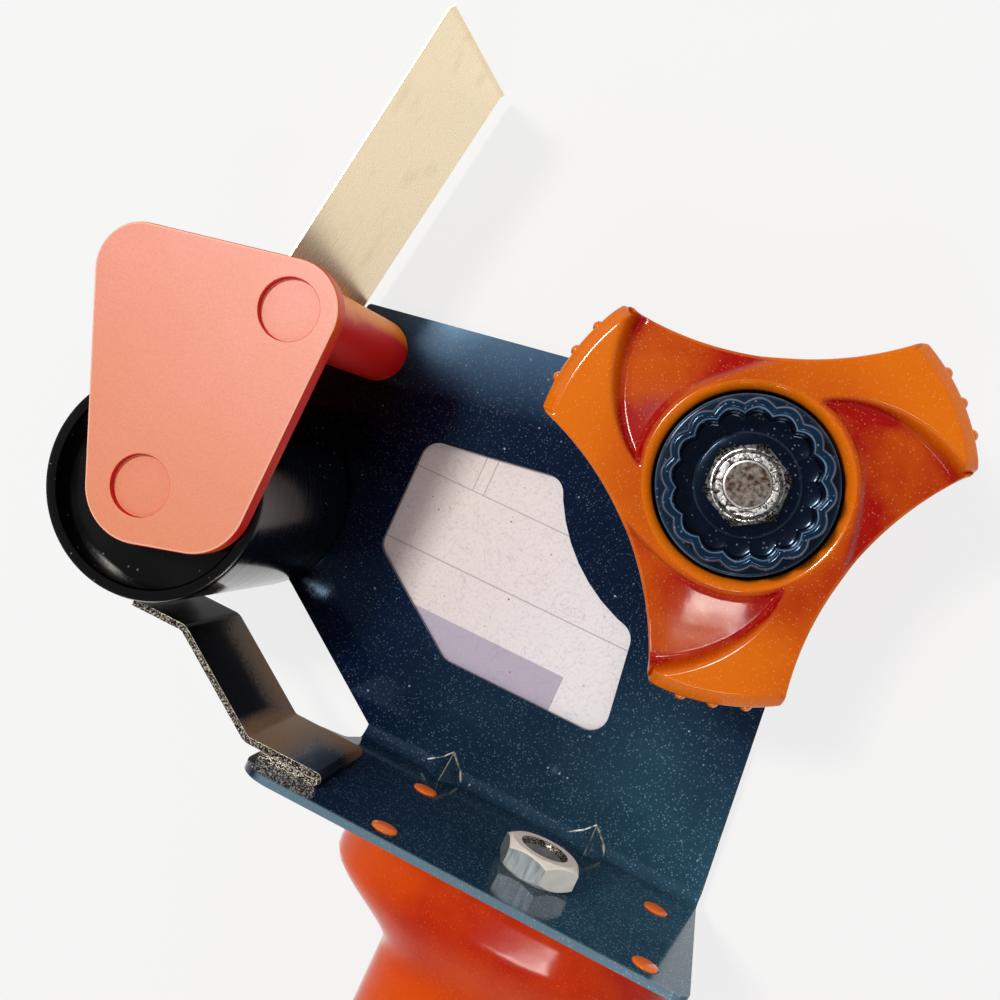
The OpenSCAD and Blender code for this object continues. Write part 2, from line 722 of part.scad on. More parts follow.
// Lock nut: a round collar on top of the hexagon
lock_r = nut_af * 0.44;
lock_h = 1.7;
module brake_nut() color(steel) translate([0, 0, nut_z]) difference() {
    union() {
        rotate(nut_turn) hex_body(nut_af, nut_h - lock_h);
        rotate_extrude() polygon([[0, lock_h / 3], [lock_r, lock_h / 3], [lock_r, nut_h - lock_h / 3],
            [lock_r - lock_h / 3, nut_h], [0, nut_h]]);
    }
    translate([0, 0, -1]) cylinder(r = bolt_d / 2 + run_gap, h = nut_h + 2);
}

// Roller on its axle, between the side plate and the guard
end_play = 0.8;
roller_len = cheek_back - plate_z - 2 * end_play;
module roller() color(black) translate(concat(roller_at, [plate_z + end_play])) difference() {
    cylinder(r = roller_r, h = roller_len);
    translate([0, 0, -1]) cylinder(r = axle_r + run_gap, h = roller_len + 2);
    for (z = [-1, roller_len - roller_hollow]) translate([0, 0, z])
        ring(roller_r - roller_wall, axle_r + run_gap + roller_wall, roller_hollow + 1);
}

screw_depth = 14;
// Neck where the upper post widens into the guard
neck_h = 3;
neck_out = 1.4;
module cheek_plate() color(coral) {
    difference() {
        hull() for (c = [concat(roller_at, cheek_roller_r), concat(heel_at, cheek_roller_r - 0.3),
            concat(post_at, cheek_post_r), concat(nose_at, cheek_nose_r)])
            translate([c.x, c.y, cheek_back]) cylinder(r = c.z, h = cheek_t, $fn = 64);
        for (p = [roller_at, post_at]) translate(concat(p, [cheek_back + cheek_t - recess_depth]))
            cylinder(r = recess_r, h = recess_depth + 1);
    }
    for (c = [concat(roller_at, axle_r), concat(post_at, post_r)]) translate([c.x, c.y, plate_z])
        ring_post(c.z);
    translate(concat(post_at, [cheek_back - neck_h]))
        cylinder(r1 = post_r - 0.2, r2 = post_r + neck_out, h = neck_h + 0.5);
}
module ring_post(r) difference() {
    cylinder(r = r, h = cheek_back - plate_z + 0.5);
    translate([0, 0, -1]) cylinder(r = screw_d / 2 + hole_gap, h = screw_depth + 1);
}

module cheek_screws() color(steel) for (p = [roller_at, post_at]) translate(p) {
    translate([0, 0, head_h]) mirror([0, 0, 1]) pan_head(screw_head_r, head_h);
    cylinder(d = screw_d, h = plate_z + screw_depth - 1);
}

// Wiper: foot clamped on the blade, then a bend and the leaning plate
foot_n = blade_t + wiper_t / 2;
foot_len = 14;
bend_r = 1 + wiper_t / 2;
wiper_z = plate_z + 1;
wiper_up = along(90 - wiper_lean);
bend_set = 1.6;
bend_at = tab_point(bend_set, foot_n);
foot_front = tab_point(-foot_len, foot_n);
bend_half = acos(unit(foot_front - bend_at) * wiper_up) / 2;
plate_start = bend_at + wiper_up * bend_r / tan(bend_half);
// Hairline between foot and plate, where the strip flexes
flex_gap = 0.1;
flex_at = plate_start + wiper_up * flex_gap;
wiper_tip = plate_start + wiper_up * wiper_len;
lip_tip = wiper_tip + lip_len * along(90 - wiper_lean - 38);
module wiper_foot() color(steel) difference() {
    translate([0, 0, wiper_z]) linear_extrude(wiper_w) polygon(strip(
        [concat(foot_front, [0]), concat(bend_at, [bend_r]), concat(plate_start, [0])], wiper_t));
    blade_holes();
}
module wiper_plate() color(steel) translate([0, 0, wiper_z]) linear_extrude(wiper_w) polygon(strip(
    [concat(flex_at, [0]), concat(wiper_tip, [1.5]), concat(lip_tip, [0])], wiper_t));
module blade_holes() at_tab(blade_screw_u) for (z = blade_screw_z)
    translate([0, 0, plate_z + z]) rotate([90, 0, 0])
        cylinder(r = screw_d / 2 + hole_gap, h = 4 * sheet_t, center = true);

// Serrated blade on the tab, its points forward
blade_back = -6;
blade_reach = 7.2;
blade_front = -tab_len - blade_reach;
tooth_w = wiper_w / blade_teeth;
module cutter_blade() color(steel) difference() {
    at_tab(0, blade_t) rotate([90, 0, 0]) linear_extrude(blade_t) polygon(concat(
        [[blade_back, wiper_z], [blade_back, wiper_z + wiper_w]],
        [for (i = [0 : blade_teeth - 1]) each [
            [blade_front + tooth_depth, wiper_z + wiper_w - i * tooth_w],
            [blade_front, wiper_z + wiper_w - (i + 0.5) * tooth_w]
        ]],
        [[blade_front + tooth_depth, wiper_z]]
    ));
    blade_holes();
}

small_nut_h = 3.2;
blade_head_h = 1.6;
module at_blade_screws(n) at_tab(blade_screw_u, n) for (z = blade_screw_z)
    translate([0, 0, plate_z + z]) rotate([-90, 0, 0]) children();
module blade_screws() color(steel) {
    at_blade_screws(blade_t + wiper_t) pan_head(screw_head_r, blade_head_h);
    at_blade_screws(-sheet_t - small_nut_h - 0.5)
        cylinder(d = screw_d, h = small_nut_h + 0.5 + sheet_t + blade_t + wiper_t);
}
module blade_nuts() color(steel) at_blade_screws(-sheet_t - small_nut_h) difference() {
    hex_body(screw_d * 1.75, small_nut_h);
    translate([0, 0, -1]) cylinder(r = screw_d / 2 + run_gap, h = small_nut_h + 2);
}

frame();
tape_tongue();
side_label();
handle();
handle_bolt();
handle_bolt_washer();
handle_nut();
hub_spindle();
hub_thrust_washer();
hub();
hub_bush();
brake_disc();
brake_spring();
spring_cap_washer();
brake_knob();
brake_nut();
roller();
cheek_plate();
cheek_screws();
wiper_foot();
wiper_plate();
cutter_blade();
blade_screws();
blade_nuts();
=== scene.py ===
import math
from functools import partial

import bmesh
import bpy
from mathutils import Matrix, Vector


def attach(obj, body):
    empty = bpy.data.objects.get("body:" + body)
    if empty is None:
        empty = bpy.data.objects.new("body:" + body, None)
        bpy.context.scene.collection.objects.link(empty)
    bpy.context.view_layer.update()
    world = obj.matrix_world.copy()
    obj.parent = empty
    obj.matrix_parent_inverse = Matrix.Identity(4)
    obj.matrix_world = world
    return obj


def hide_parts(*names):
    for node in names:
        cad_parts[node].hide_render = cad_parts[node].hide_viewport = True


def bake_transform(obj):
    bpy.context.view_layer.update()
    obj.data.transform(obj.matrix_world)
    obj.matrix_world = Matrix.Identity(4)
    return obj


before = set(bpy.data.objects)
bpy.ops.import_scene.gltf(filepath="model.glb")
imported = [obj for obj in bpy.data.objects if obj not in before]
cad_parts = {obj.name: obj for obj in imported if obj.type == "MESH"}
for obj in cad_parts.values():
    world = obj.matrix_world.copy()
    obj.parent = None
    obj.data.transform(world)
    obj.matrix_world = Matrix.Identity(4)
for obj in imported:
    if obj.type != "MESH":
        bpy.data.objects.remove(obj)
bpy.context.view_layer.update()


# Camera: held by hand some 21 cm above the hub, looking down at the dispenser on its side,
# with the roller and the wiper to the upper left and the handle running out of the picture.
camera = bpy.data.objects.new("camera", bpy.data.cameras.new("camera"))
camera.data.sensor_width = 36
camera.data.lens = 46.8
to_right, to_top, to_back = (0.89274, 0.41557, -0.17421), (-0.42104, 0.90702, 0.00606), (0.16054, 0.06794, 0.98470)
camera.matrix_world = (Matrix.Translation((-0.00095, -0.00464, 0.276))
                       @ Matrix((to_right, to_top, to_back)).transposed().to_4x4())
bpy.context.collection.objects.link(camera)
bpy.context.scene.camera = camera
bpy.context.scene.view_settings.view_transform = "Standard"


# Table: a sheet of pale matt card under the dispenser, lit by a ceiling lamp a little beyond the wiper, by
# a strip lamp on the handle's side and by the plain walls of the room, brighter low down than overhead.
def linear(hex_colour):
    """Colour of a shader from an sRGB hex string."""
    parts = [int(hex_colour[i:i + 2], 16) / 255 for i in (1, 3, 5)]
    return [p / 12.92 if p <= 0.04045 else ((p + 0.055) / 1.055) ** 2.4 for p in parts] + [1]


def join(made, links):
    """Sets a node's inputs, by name or in order: a node gives its first output in use, a hex string a colour."""
    for socket, value in links.items() if isinstance(links, dict) else enumerate(links):
        if isinstance(value, bpy.types.Node):
            value = next(out for out in value.outputs if out.enabled)
        if isinstance(value, bpy.types.NodeSocket):
            made.id_data.links.new(value, made.inputs[socket])
        else:
            made.inputs[socket].default_value = linear(value) if isinstance(value, str) else value


def put(tree, family, kind, links=(), **settings):
    """Adds a node of a family to a tree, with its settings and links."""
    made = tree.nodes.new(family + kind)
    for key, value in settings.items():
        setattr(made, key, value)
    join(made, links)
    return made


def placed(name, bm):
    """Object made from bm, in the scene."""
    mesh = bpy.data.meshes.new(name)
    bm.to_mesh(mesh)
    bm.free()
    piece = bpy.data.objects.new(name, mesh)
    bpy.context.collection.objects.link(piece)
    return piece


card = bpy.data.materials.new("matt card")
card.use_nodes = True
card.node_tree.nodes.clear()
add = partial(put, card.node_tree, "ShaderNode")
path = add("LightPath")
seen = add("Math", (path.outputs["Is Camera Ray"], path.outputs["Is Glossy Ray"]), operation="MAXIMUM")
seen = add("Math", (seen, path.outputs["Is Transmission Ray"]), operation="MAXIMUM")
share = add("Math", (seen, 0.86), operation="MULTIPLY")
matt = add("BsdfDiffuse", {"Color": "#f4f4f4"})
bright = add("Math", (path.outputs["Is Glossy Ray"], 0.22, 1.0), operation="MULTIPLY_ADD")
glow = add("Emission", {"Color": "#f6f6f6", "Strength": bright})
both = add("MixShader", (share, matt, glow))
add("OutputMaterial", {"Surface": both})
bm = bmesh.new()
bmesh.ops.create_grid(bm, x_segments=1, y_segments=1, size=4)
table = placed("table", bm)
table.data.materials.append(card)

room = bpy.data.worlds.new("room")
room.use_nodes = True
room.node_tree.nodes.clear()
add = partial(put, room.node_tree, "ShaderNode")
way = add("TexCoord")
height = add("SeparateXYZ", (way.outputs["Generated"],))
dim = add("MapRange", {"Value": height.outputs["Z"], "From Min": 0.05, "From Max": 0.85, "To Min": 0.80,
                       "To Max": 0.27})
walls = add("Background", {"Color": "#f4f8ff", "Strength": dim})
add("OutputWorld", {"Surface": walls})
bpy.context.scene.world = room

for name, size, watts, place in (("ceiling lamp", (0.12, 0.12), 5.8, (-0.34, 0.14, 0.93)),
                                 ("strip lamp", (0.20, 0.03), 1.0, (0.09, -0.43, 0.86))):
    lamp = bpy.data.objects.new(name, bpy.data.lights.new(name, "AREA"))
    lamp.data.shape = "RECTANGLE"
    lamp.data.size, lamp.data.size_y = size
    lamp.data.energy = watts
    lamp.data.color = linear("#fffaf2")[:3]
    lamp.location = place
    lamp.rotation_euler = (-Vector(place)).to_track_quat("-Z", "Y").to_euler()
    bpy.context.collection.objects.link(lamp)


# Frame: one pressed steel sheet, its side plate and base folded at a right angle, with two gussets
# pressed into the fold. It is dipped in blue-black enamel, which rounds the sheared edges.
def finish_of(name):
    """New material: itself, its shader, the place in the piece's own frame, and the call that adds a node to it."""
    made = bpy.data.materials.new(name)
    made.use_nodes = True
    add = partial(put, made.node_tree, "ShaderNode")
    return made, made.node_tree.nodes["Principled BSDF"], add("TexCoord").outputs["Object"], add


def softened(node, width, segments=3, other=lambda at: None):
    """Copy of a CAD node's mesh, merged, its sharp edges rounded to width in mm, or to other's width at a place."""
    def width_of(edge):
        return other(500 * (edge.verts[0].co + edge.verts[1].co)) or width

    bm = bmesh.new()
    bm.from_mesh(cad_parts[node].data)
    bmesh.ops.remove_doubles(bm, verts=bm.verts, dist=2e-6)
    bmesh.ops.dissolve_limit(bm, angle_limit=math.radians(0.6), verts=bm.verts, edges=bm.edges)
    for size in sorted({width, *map(width_of, bm.edges)}, reverse=True):
        sharp = [e for e in bm.edges if len(e.link_faces) == 2 and e.calc_face_angle() > math.radians(32)
                 and width_of(e) == size]
        bmesh.ops.bevel(bm, geom=sharp, offset=size / 1000, segments=segments, profile=0.5, affect="EDGES",
                        clamp_overlap=True)
    return bm


def fitted(name, bm, finishes, body, slot, *replaced, crease=40):
    """Object from bm, shaded smooth up to the crease angle, riding on a body in place of CAD nodes."""
    piece = placed(name, bm)
    mesh = piece.data
    mesh.polygons.foreach_set("use_smooth", [True] * len(mesh.polygons))
    mesh.set_sharp_from_angle(angle=math.radians(crease))
    for made in finishes:
        mesh.materials.append(made)
    even = piece.modifiers.new("even shading", "WEIGHTED_NORMAL")
    even.keep_sharp = True
    if body:
        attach(piece, body)
    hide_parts(*replaced)
    return piece


def specks(add, where, cell, size, share):
    """Node that gives 1 in round specks: cell and size in mm, share of the cells that have one."""
    grit = add("TexVoronoi", {"Vector": where, "Scale": 1000 / cell})
    chance = add("SeparateColor", (grit.outputs["Color"],))
    there = add("Math", (chance.outputs["Red"], share), operation="LESS_THAN")
    spread = add("Math", (chance.outputs["Green"], there), operation="MULTIPLY")
    dot = add("MapRange", {"Value": grit.outputs["Distance"], "From Min": size / cell / 2,
                           "From Max": size / cell / 5})
    return add("Math", (dot, spread), operation="MULTIPLY")


# Baked enamel: deep and glossy navy, with a painted teal sheen towards the rear of the fold and low down,
# a painted paler sheen along the top edge, painted black shadow in front, a painted highlight on the base's
# rounded edge, and dusty. The dust is drawn at 0.4 mm so that it shows.
enamel, shader, where, add = finish_of("baked enamel")
place = add("SeparateXYZ", (where,))
# Painted sheen: teal towards the rear and low down, patchy every 30 mm.
rear = add("MapRange", {"Value": place.outputs["X"], "From Min": -0.055, "From Max": 0.01})
low = add("MapRange", {"Value": place.outputs["Y"], "From Min": -0.03, "From Max": -0.068})
sheen_zone = add("Math", (rear, low), operation="MULTIPLY")
cloud = add("TexNoise", {"Vector": where, "Scale": 1000 / 30, "Detail": 3})
patchy = add("MapRange", {"Value": cloud, "From Min": 0.32, "From Max": 0.68, "To Min": 0.45, "To Max": 1.0})
painted_sheen = add("Math", (sheen_zone, patchy), operation="MULTIPLY")
blue = add("Mix", {0: painted_sheen, 6: "#081632", 7: "#2c5266"}, data_type="RGBA")
# Painted sheen: paler along the top edge of the side plate.
slope = add("Math", (place.outputs["X"], -0.153, place.outputs["Y"]), operation="MULTIPLY_ADD")
painted_top_sheen = add("MapRange", {"Value": slope, "From Min": 0.001, "From Max": 0.0155, "To Max": 0.85})
paler = add("Mix", {0: painted_top_sheen, 6: blue, 7: "#466684"}, data_type="RGBA")
# Painted highlight on the base's rounded edge, and painted black shadow at the front.
painted_edge_sheen = add("MapRange", {"Value": place.outputs["Z"], "From Min": 0.0558, "From Max": 0.0565})
front = add("MapRange", {"Value": place.outputs["X"], "From Min": -0.060, "From Max": -0.078})
painted_front_shadow = add("Math", (front, painted_top_sheen), operation="SUBTRACT", use_clamp=True)
black = add("Mix", {0: painted_front_shadow, 6: paler, 7: "#020307"}, data_type="RGBA")
edge_highlit = add("Mix", {0: painted_edge_sheen, 6: black, 7: "#5f7684"}, data_type="RGBA")
# The fine dust shows more in the painted sheen and less in the painted shadow.
dust_in_sheen = add("MapRange", {"Value": painted_sheen, "To Min": 0.22, "To Max": 0.75})
fine = add("Math", (specks(add, where, 0.55, 0.4, 0.85), dust_in_sheen), operation="MULTIPLY")
dust = add("Math", (fine, specks(add, where, 2.6, 0.6, 0.4)), operation="MAXIMUM")
dust_out_of_shadow = add("MapRange", {"Value": painted_front_shadow, "To Min": 1.0, "To Max": 0.15})
lies = add("Math", (dust, dust_out_of_shadow), operation="MULTIPLY")
dusty = add("Mix", {0: lies, 6: edge_highlit, 7: "#a9c0cc"}, data_type="RGBA")
gloss = add("MapRange", {"Value": cloud, "From Min": 0.3, "From Max": 0.7, "To Min": 0.07, "To Max": 0.13})
inner = add("MapRange", {"Value": place.outputs["Z"], "From Min": 0.0072, "From Max": 0.0058})
lower = add("MapRange", {"Value": place.outputs["Y"], "From Min": -0.0787, "From Max": -0.0800})
corner = add("Math", (inner, lower), operation="MULTIPLY")
matter = add("Math", (corner, 0.55, gloss), operation="MULTIPLY_ADD")
peel = add("TexNoise", {"Vector": where, "Scale": 1000 / 2.6, "Detail": 1})
relief = add("Bump", {"Height": peel, "Strength": 0.1, "Distance": 0.00006})
join(shader, {"Base Color": dusty, "Roughness": matter, "Normal": relief, "Specular IOR Level": 0.36,
              "Specular Tint": "#a8cdf2"})

fitted("enamelled_frame", softened("frame", 0.4), [enamel], "frame_body", "enamel", "frame")


def two_tone(name, every, tones, looks, span=(0, 1), rough=None, relief=None, **noise):
    """Finish that wavers between two tones every (x, y, z) mm: span is the part of the noise that the tones share,
    rough the range of its roughness, relief the strength of its bumps and their depth in m."""
    made, shader, where, add = finish_of(name)
    spread = add("VectorMath", (where, [1000 / size for size in every]), operation="MULTIPLY")
    waver = add("TexNoise", {"Vector": spread, "Scale": 1, **noise})
    share = add("MapRange", {"Value": waver, "From Min": span[0], "From Max": span[1]})
    tone = add("Mix", {0: share, 6: tones[0], 7: tones[1]}, data_type="RGBA")
    join(shader, {"Base Color": tone, **looks})
    if rough:
        satin = add("MapRange", {"Value": waver, "From Min": 0.3, "From Max": 0.7, "To Min": rough[0],
                                 "To Max": rough[1]})
        join(shader, {"Roughness": satin})
    if relief:
        bumps = add("Bump", {"Height": waver, "Strength": relief[0], "Distance": relief[1]})
        join(shader, {"Normal": bumps})
    return made


# Painted glints: white and beige lines drawn along the gussets' sharp edges as painted highlights and
# painted reflections, patchy every 1.5 mm. Each runs from the gusset's peak along a line in mm.
white_glint, beige_glint = (
    two_tone(name, (1.5, 1.5, 1.5), ("#26404e", glint_tone), {"Roughness": 0.35}, span=(0.35, 0.6), Detail=2)
    for name, glint_tone in (("painted white glint", "#ffffff"), ("painted beige reflection", "#a8a390")))
left_gusset_x, right_gusset_x = -31.5, 2.2
bm = bmesh.new()
for peak_x in (left_gusset_x, right_gusset_x):
    for kind, radius, line in ((0, 0.24, ((0, -76.4, 4.0), (-2.0, -78.5, 4.0), (-4.6, -80.3, 4.15))),
                               (1, 0.16, ((0, -76.6, 4.1), (0, -81.9, 9.4))),
                               (1, 0.4, ((0, -76.6, 4.0), (2.9, -79.5, 4.0), (3.9, -81.3, 4.75)))):
        for start, end in zip(line, line[1:]):
            start, end = (Vector((peak_x, 0, 0)) + Vector(p) for p in (start, end))
            turn_to = (end - start).to_track_quat("Z", "Y").to_matrix().to_4x4()
            made = bmesh.ops.create_cone(bm, cap_ends=True, segments=10, radius1=radius / 1000,
                                         radius2=0.6 * radius / 1000, depth=(end - start).length / 1000,
                                         matrix=Matrix.Translation((start + end) / 2000) @ turn_to)
            for face in {f for v in made["verts"] for f in v.link_faces}:
                face.material_index = kind
fitted("gusset_glints", bm, [white_glint, beige_glint], "frame_body", "enamel")


# Tongue: a black-painted spring strip hemmed at its foot and spot-welded on the base.
# It was sheared after painting, so its cut edges are bare steel.
# Stoving paint: glossy black, with a painted golden-brown reflection towards the far edge and at the ramp's foot.
paint, shader, where, add = finish_of("black stoving paint")
place = add("SeparateXYZ", (where,))
far = add("MapRange", {"Value": place.outputs["Z"], "From Min": 0.0355, "From Max": 0.0235})
tip = add("MapRange", {"Value": place.outputs["Y"], "From Min": -0.0662, "From Max": -0.0682})
ramp = add("Math", (far, tip), operation="MULTIPLY")
foot = add("MapRange", {"Value": place.outputs["X"], "From Min": -0.0515, "From Max": -0.0575})
down = add("MapRange", {"Value": place.outputs["Y"], "From Min": -0.0772, "From Max": -0.0785})
toe = add("Math", (foot, down), operation="MULTIPLY")
# Painted reflection: golden brown towards the far edge and at the foot.
baked = add("Math", (ramp, toe), operation="MAXIMUM")
wipe = add("TexNoise", {"Vector": where, "Scale": 1000 / 0.5, "Detail": 2})
grainy = add("MapRange", {"Value": wipe, "From Min": 0.3, "From Max": 0.7, "To Min": 0.35, "To Max": 1.0})
brown = add("Math", (baked, grainy), operation="MULTIPLY")
tone = add("Mix", {0: brown, 6: "#040303", 7: "#9a7440"}, data_type="RGBA")
rub = add("MapRange", {"Value": brown, "To Min": 0.2, "To Max": 0.6})
join(shader, {"Base Color": tone, "Roughness": rub})

# Sheared steel: torn and dull across the thickness, with tear lines about 0.3 mm apart, bright along its rims.
sheared, shader, where, add = finish_of("sheared steel")
tear = add("TexNoise", {"Vector": where, "Scale": 1000 / 0.3, "Detail": 2})
rims = add("Attribute", attribute_name="worn")
lift = add("Math", (rims.outputs["Fac"], 0.3, tear), operation="MULTIPLY_ADD")
shine = add("MapRange", {"Value": lift, "From Min": 0.46, "From Max": 0.8})
tone = add("Mix", {0: shine, 6: "#14110e", 7: "#f0e6d4"}, data_type="RGBA")
join(shader, {"Base Color": tone, "Metallic": 0.9, "Roughness": 0.42})
bm = softened("tape_tongue", 0.2, 2)
rubbed_and_highlit = bm.faces.layers.float.new("worn")
for face in bm.faces:
    face.material_index = 1 if abs(face.normal.z) > 0.3 else 0
    face[rubbed_and_highlit] = 1 if abs(face.normal.z) < 0.98 else 0
fitted("sprung_tongue", bm, [paint, sheared], "frame_body", "tongue_black", "tape_tongue")


# Label: a paper label stuck on the far side of the plate, so its back shows through the window, off-white with specks
# of dirt, painted shade towards the left, faint rules of its print showing through, and a lavender panel low on the
# left.
paper, shader, where, add = finish_of("label paper")
place = add("SeparateXYZ", (where,))
# Painted shade: the sheet is painted darker and warmer towards its left.
painted_light_to_right = add("MapRange", {"Value": place.outputs["X"], "From Min": -0.07, "From Max": -0.02})
sheet = add("Mix", {0: painted_light_to_right, 6: "#ecdfda", 7: "#f6f4fb"}, data_type="RGBA")
panel_x = add("Math", (place.outputs["X"], -0.0173), operation="LESS_THAN")
panel_y = add("Math", (place.outputs["Y"], -0.0518), operation="LESS_THAN")
panel = add("Math", (panel_x, panel_y), operation="MULTIPLY")
tinted = add("Mix", {0: panel, 6: sheet, 7: "#c0b8ce"}, data_type="RGBA")
middle_rule, upper_rule, half_rule = -0.0408, -0.0242, 0.00014
marks = add("Math", (place.outputs["Y"], middle_rule, 0.00016), operation="COMPARE")
rule = add("Math", (place.outputs["Y"], upper_rule, half_rule), operation="COMPARE")
marks = add("Math", (marks, rule), operation="MAXIMUM")
above = add("Math", (place.outputs["Y"], upper_rule), operation="GREATER_THAN")
for at in (-0.0518, -0.0492):
    post = add("Math", (place.outputs["X"], at, half_rule), operation="COMPARE")
    upright = add("Math", (post, above), operation="MULTIPLY")
    marks = add("Math", (marks, upright), operation="MAXIMUM")
faint = add("Math", (marks, 0.42), operation="MULTIPLY")
ruled = add("Mix", {0: faint, 6: tinted, 7: "#5d5661"}, data_type="RGBA")
fold = add("TexNoise", {"Vector": where, "Scale": 1000 / 7, "Detail": 4, "Distortion": 1.5})
crease = add("Math", (fold, 0.5, 0.008), operation="COMPARE")
worn = add("Math", (crease, 0.16), operation="MULTIPLY")
creased = add("Mix", {0: worn, 6: ruled, 7: "#6f6876"}, data_type="RGBA")
fibre = add("TexNoise", {"Vector": where, "Scale": 1000 / 0.6, "Detail": 3})
cloudy = add("MapRange", {"Value": fibre, "From Min": 0.5, "From Max": 0.75, "To Max": 0.28})
mottled = add("Mix", {0: cloudy, 6: creased, 7: "#a79fae"}, data_type="RGBA")
dirt = specks(add, where, 2.2, 0.55, 0.4)
dirty = add("Mix", {0: dirt, 6: mottled, 7: "#2e2a2c"}, data_type="RGBA")
join(shader, {"Base Color": dirty, "Roughness": 0.7})
fitted("paper_label", softened("side_label", 0.03, 1), [paper], "frame_body", "label_paper", "side_label")


# Handle: a hollow-cored grip moulded in glossy orange ABS, flared under the base and held there by a
# long bolt whose head sits in a counterbore. Four moulded pegs come up through the base.
def loft(rings, closed=True):
    """Skin through rings of points in mm, the last ring joined to the first if it is closed."""
    bm = bmesh.new()
    rows = [[bm.verts.new(Vector(p) / 1000) for p in ring] for ring in rings]
    for low, high in zip(rows, rows[1:] + rows[:1] if closed else rows[1:]):
        for i in range(len(low)):
            j = (i + 1) % len(low)
            bm.faces.new((low[i], low[j], high[j], high[i]))
    bmesh.ops.recalc_face_normals(bm, faces=bm.faces)
    return bm


def ease(t):
    """Smooth step from 0 to 1."""
    t = min(max(t, 0), 1)
    return t * t * (3 - 2 * t)


# ABS: glossy and strongly coloured, painted redder as painted shade where each piece marks it, with a soft
# unevenness from moulding and fine pale dust, drawn at 0.3 mm so that it shows.
def orange_abs(name, lit, deep_shade, dusty, smoothest=0.08, roughest=0.14):
    """Finish from its lit colour and its colour in painted shade, its share of dust and its range of roughness."""
    made, shader, where, add = finish_of(name)
    flow = add("TexNoise", {"Vector": where, "Scale": 1000 / 14, "Detail": 3})
    hollow = add("Attribute", attribute_name="hollow")
    uneven = add("MapRange", {"Value": flow, "From Min": 0.36, "From Max": 0.64, "To Min": 0.7, "To Max": 1.2})
    # Painted shade: the attribute read here mixes in the darker red.
    soft = add("Math", (hollow.outputs["Fac"], 0.12), operation="ADD")
    painted_red_share = add("Math", (uneven, soft), operation="MULTIPLY", use_clamp=True)
    body = add("Mix", {0: painted_red_share, 6: lit, 7: deep_shade}, data_type="RGBA")
    dust = add("Math", (specks(add, where, 0.55, 0.36, 0.8), dusty), operation="MULTIPLY")
    pale = add("Mix", {0: dust, 6: body, 7: "#f6b878"}, data_type="RGBA")
    gloss = add("MapRange", {"Value": flow, "From Min": 0.3, "From Max": 0.7, "To Min": smoothest,
                             "To Max": roughest})
    ripple = add("TexNoise", {"Vector": where, "Scale": 1000 / 4, "Detail": 2})
    relief = add("Bump", {"Height": ripple, "Strength": 0.16, "Distance": 0.00012})
    join(shader, {"Base Color": pale, "Roughness": gloss, "Normal": relief, "Specular IOR Level": 0.22,
                  "Subsurface Weight": 0.08, "Subsurface Radius": (1.0, 0.2, 0.03), "Subsurface Scale": 0.003})
    return made


grip_abs = orange_abs("glossy ABS of the grip", "#dc5204", "#a80c02", 0.12)
peg_abs = orange_abs("glossy ABS of the pegs", "#fa7a24", "#d8440e", 0.2)
grip_x, grip_w, grip_d, flare, squareness, handle_len = -6.4, 19.2, 16.5, 15, 2.6, 107
bolt_x, bolt_z, base_under, hole_r = -5.0, 35.25, -83.5, 4.1
turn = [2 * math.pi * i / 128 for i in range(128)]


def grip_ring(s, inset=0.0):
    """Ring round the grip, s mm below the base."""
    swell = flare * (1 - ease((s - 7.5) / 13)) + 1.6 * ease((s - handle_len + 45) / 38)
    w, d = grip_w + swell - inset, grip_d + swell * 0.3 - inset
    ring = []
    for a in turn:
        k = (abs(math.cos(a)) ** squareness + abs(math.sin(a)) ** squareness) ** (-1 / squareness)
        ring.append((grip_x + w * k * math.cos(a), base_under - s, bolt_z + d * k * math.sin(a)))
    return ring


def bore_ring(s, r):
    """Ring round the bolt's hole, s mm below the base."""
    return [(bolt_x + r * math.cos(a), base_under - s, bolt_z + r * math.sin(a)) for a in turn]


rings = [bore_ring(0, hole_r), grip_ring(0, 0.5), grip_ring(0.15, 0.15)]
rings += [grip_ring(0.5 + k * (handle_len - 3.5) / 70) for k in range(71)]
rings += [grip_ring(handle_len - 3 + 3 * math.sin(a), 3 - 3 * math.cos(a))
          for a in (0.26, 0.52, 0.79, 1.05, 1.31, 1.57)]
rings += [bore_ring(handle_len - up, r) for up, r in ((0, 10), (0.5, 9.5), (12, 9.5), (12, hole_r))]
bm = loft(rings)
# Painted shade: the grip is painted redder just under the base, less so at its front edge.
shade = bm.verts.layers.float.new("hollow")
for v in bm.verts:
    under = 1 - ease((base_under - 1000 * v.co.y - 6) / 26)
    v[shade] = 0.1 + 0.5 * under * ease((1000 * v.co.x + 34) / 16)
fitted("moulded_grip", bm, [grip_abs], "frame_body", "orange_gloss", "handle")


def new_tree(name, **inputs):
    """Geometry Nodes tree with the piece, more inputs and a finish: itself, its inputs, the call that adds a node."""
    tree = bpy.data.node_groups.new(name, "GeometryNodeTree")
    for socket, kind in {"Geometry": "Geometry", **inputs, "Finish": "Material"}.items():
        tree.interface.new_socket(socket, in_out="INPUT", socket_type="NodeSocket" + kind)
    tree.interface.new_socket("Geometry", in_out="OUTPUT", socket_type="NodeSocketGeometry")
    add = partial(put, tree, "")
    return tree, add("NodeGroupInput").outputs, add


def close_tree(add, shape, given):
    """Ends a tree: its copies are made real and take the finish."""
    real = add("GeometryNodeRealizeInstances", (shape,))
    coated = add("GeometryNodeSetMaterial", {"Geometry": real, "Material": given["Finish"]})
    add("NodeGroupOutput", (coated,))


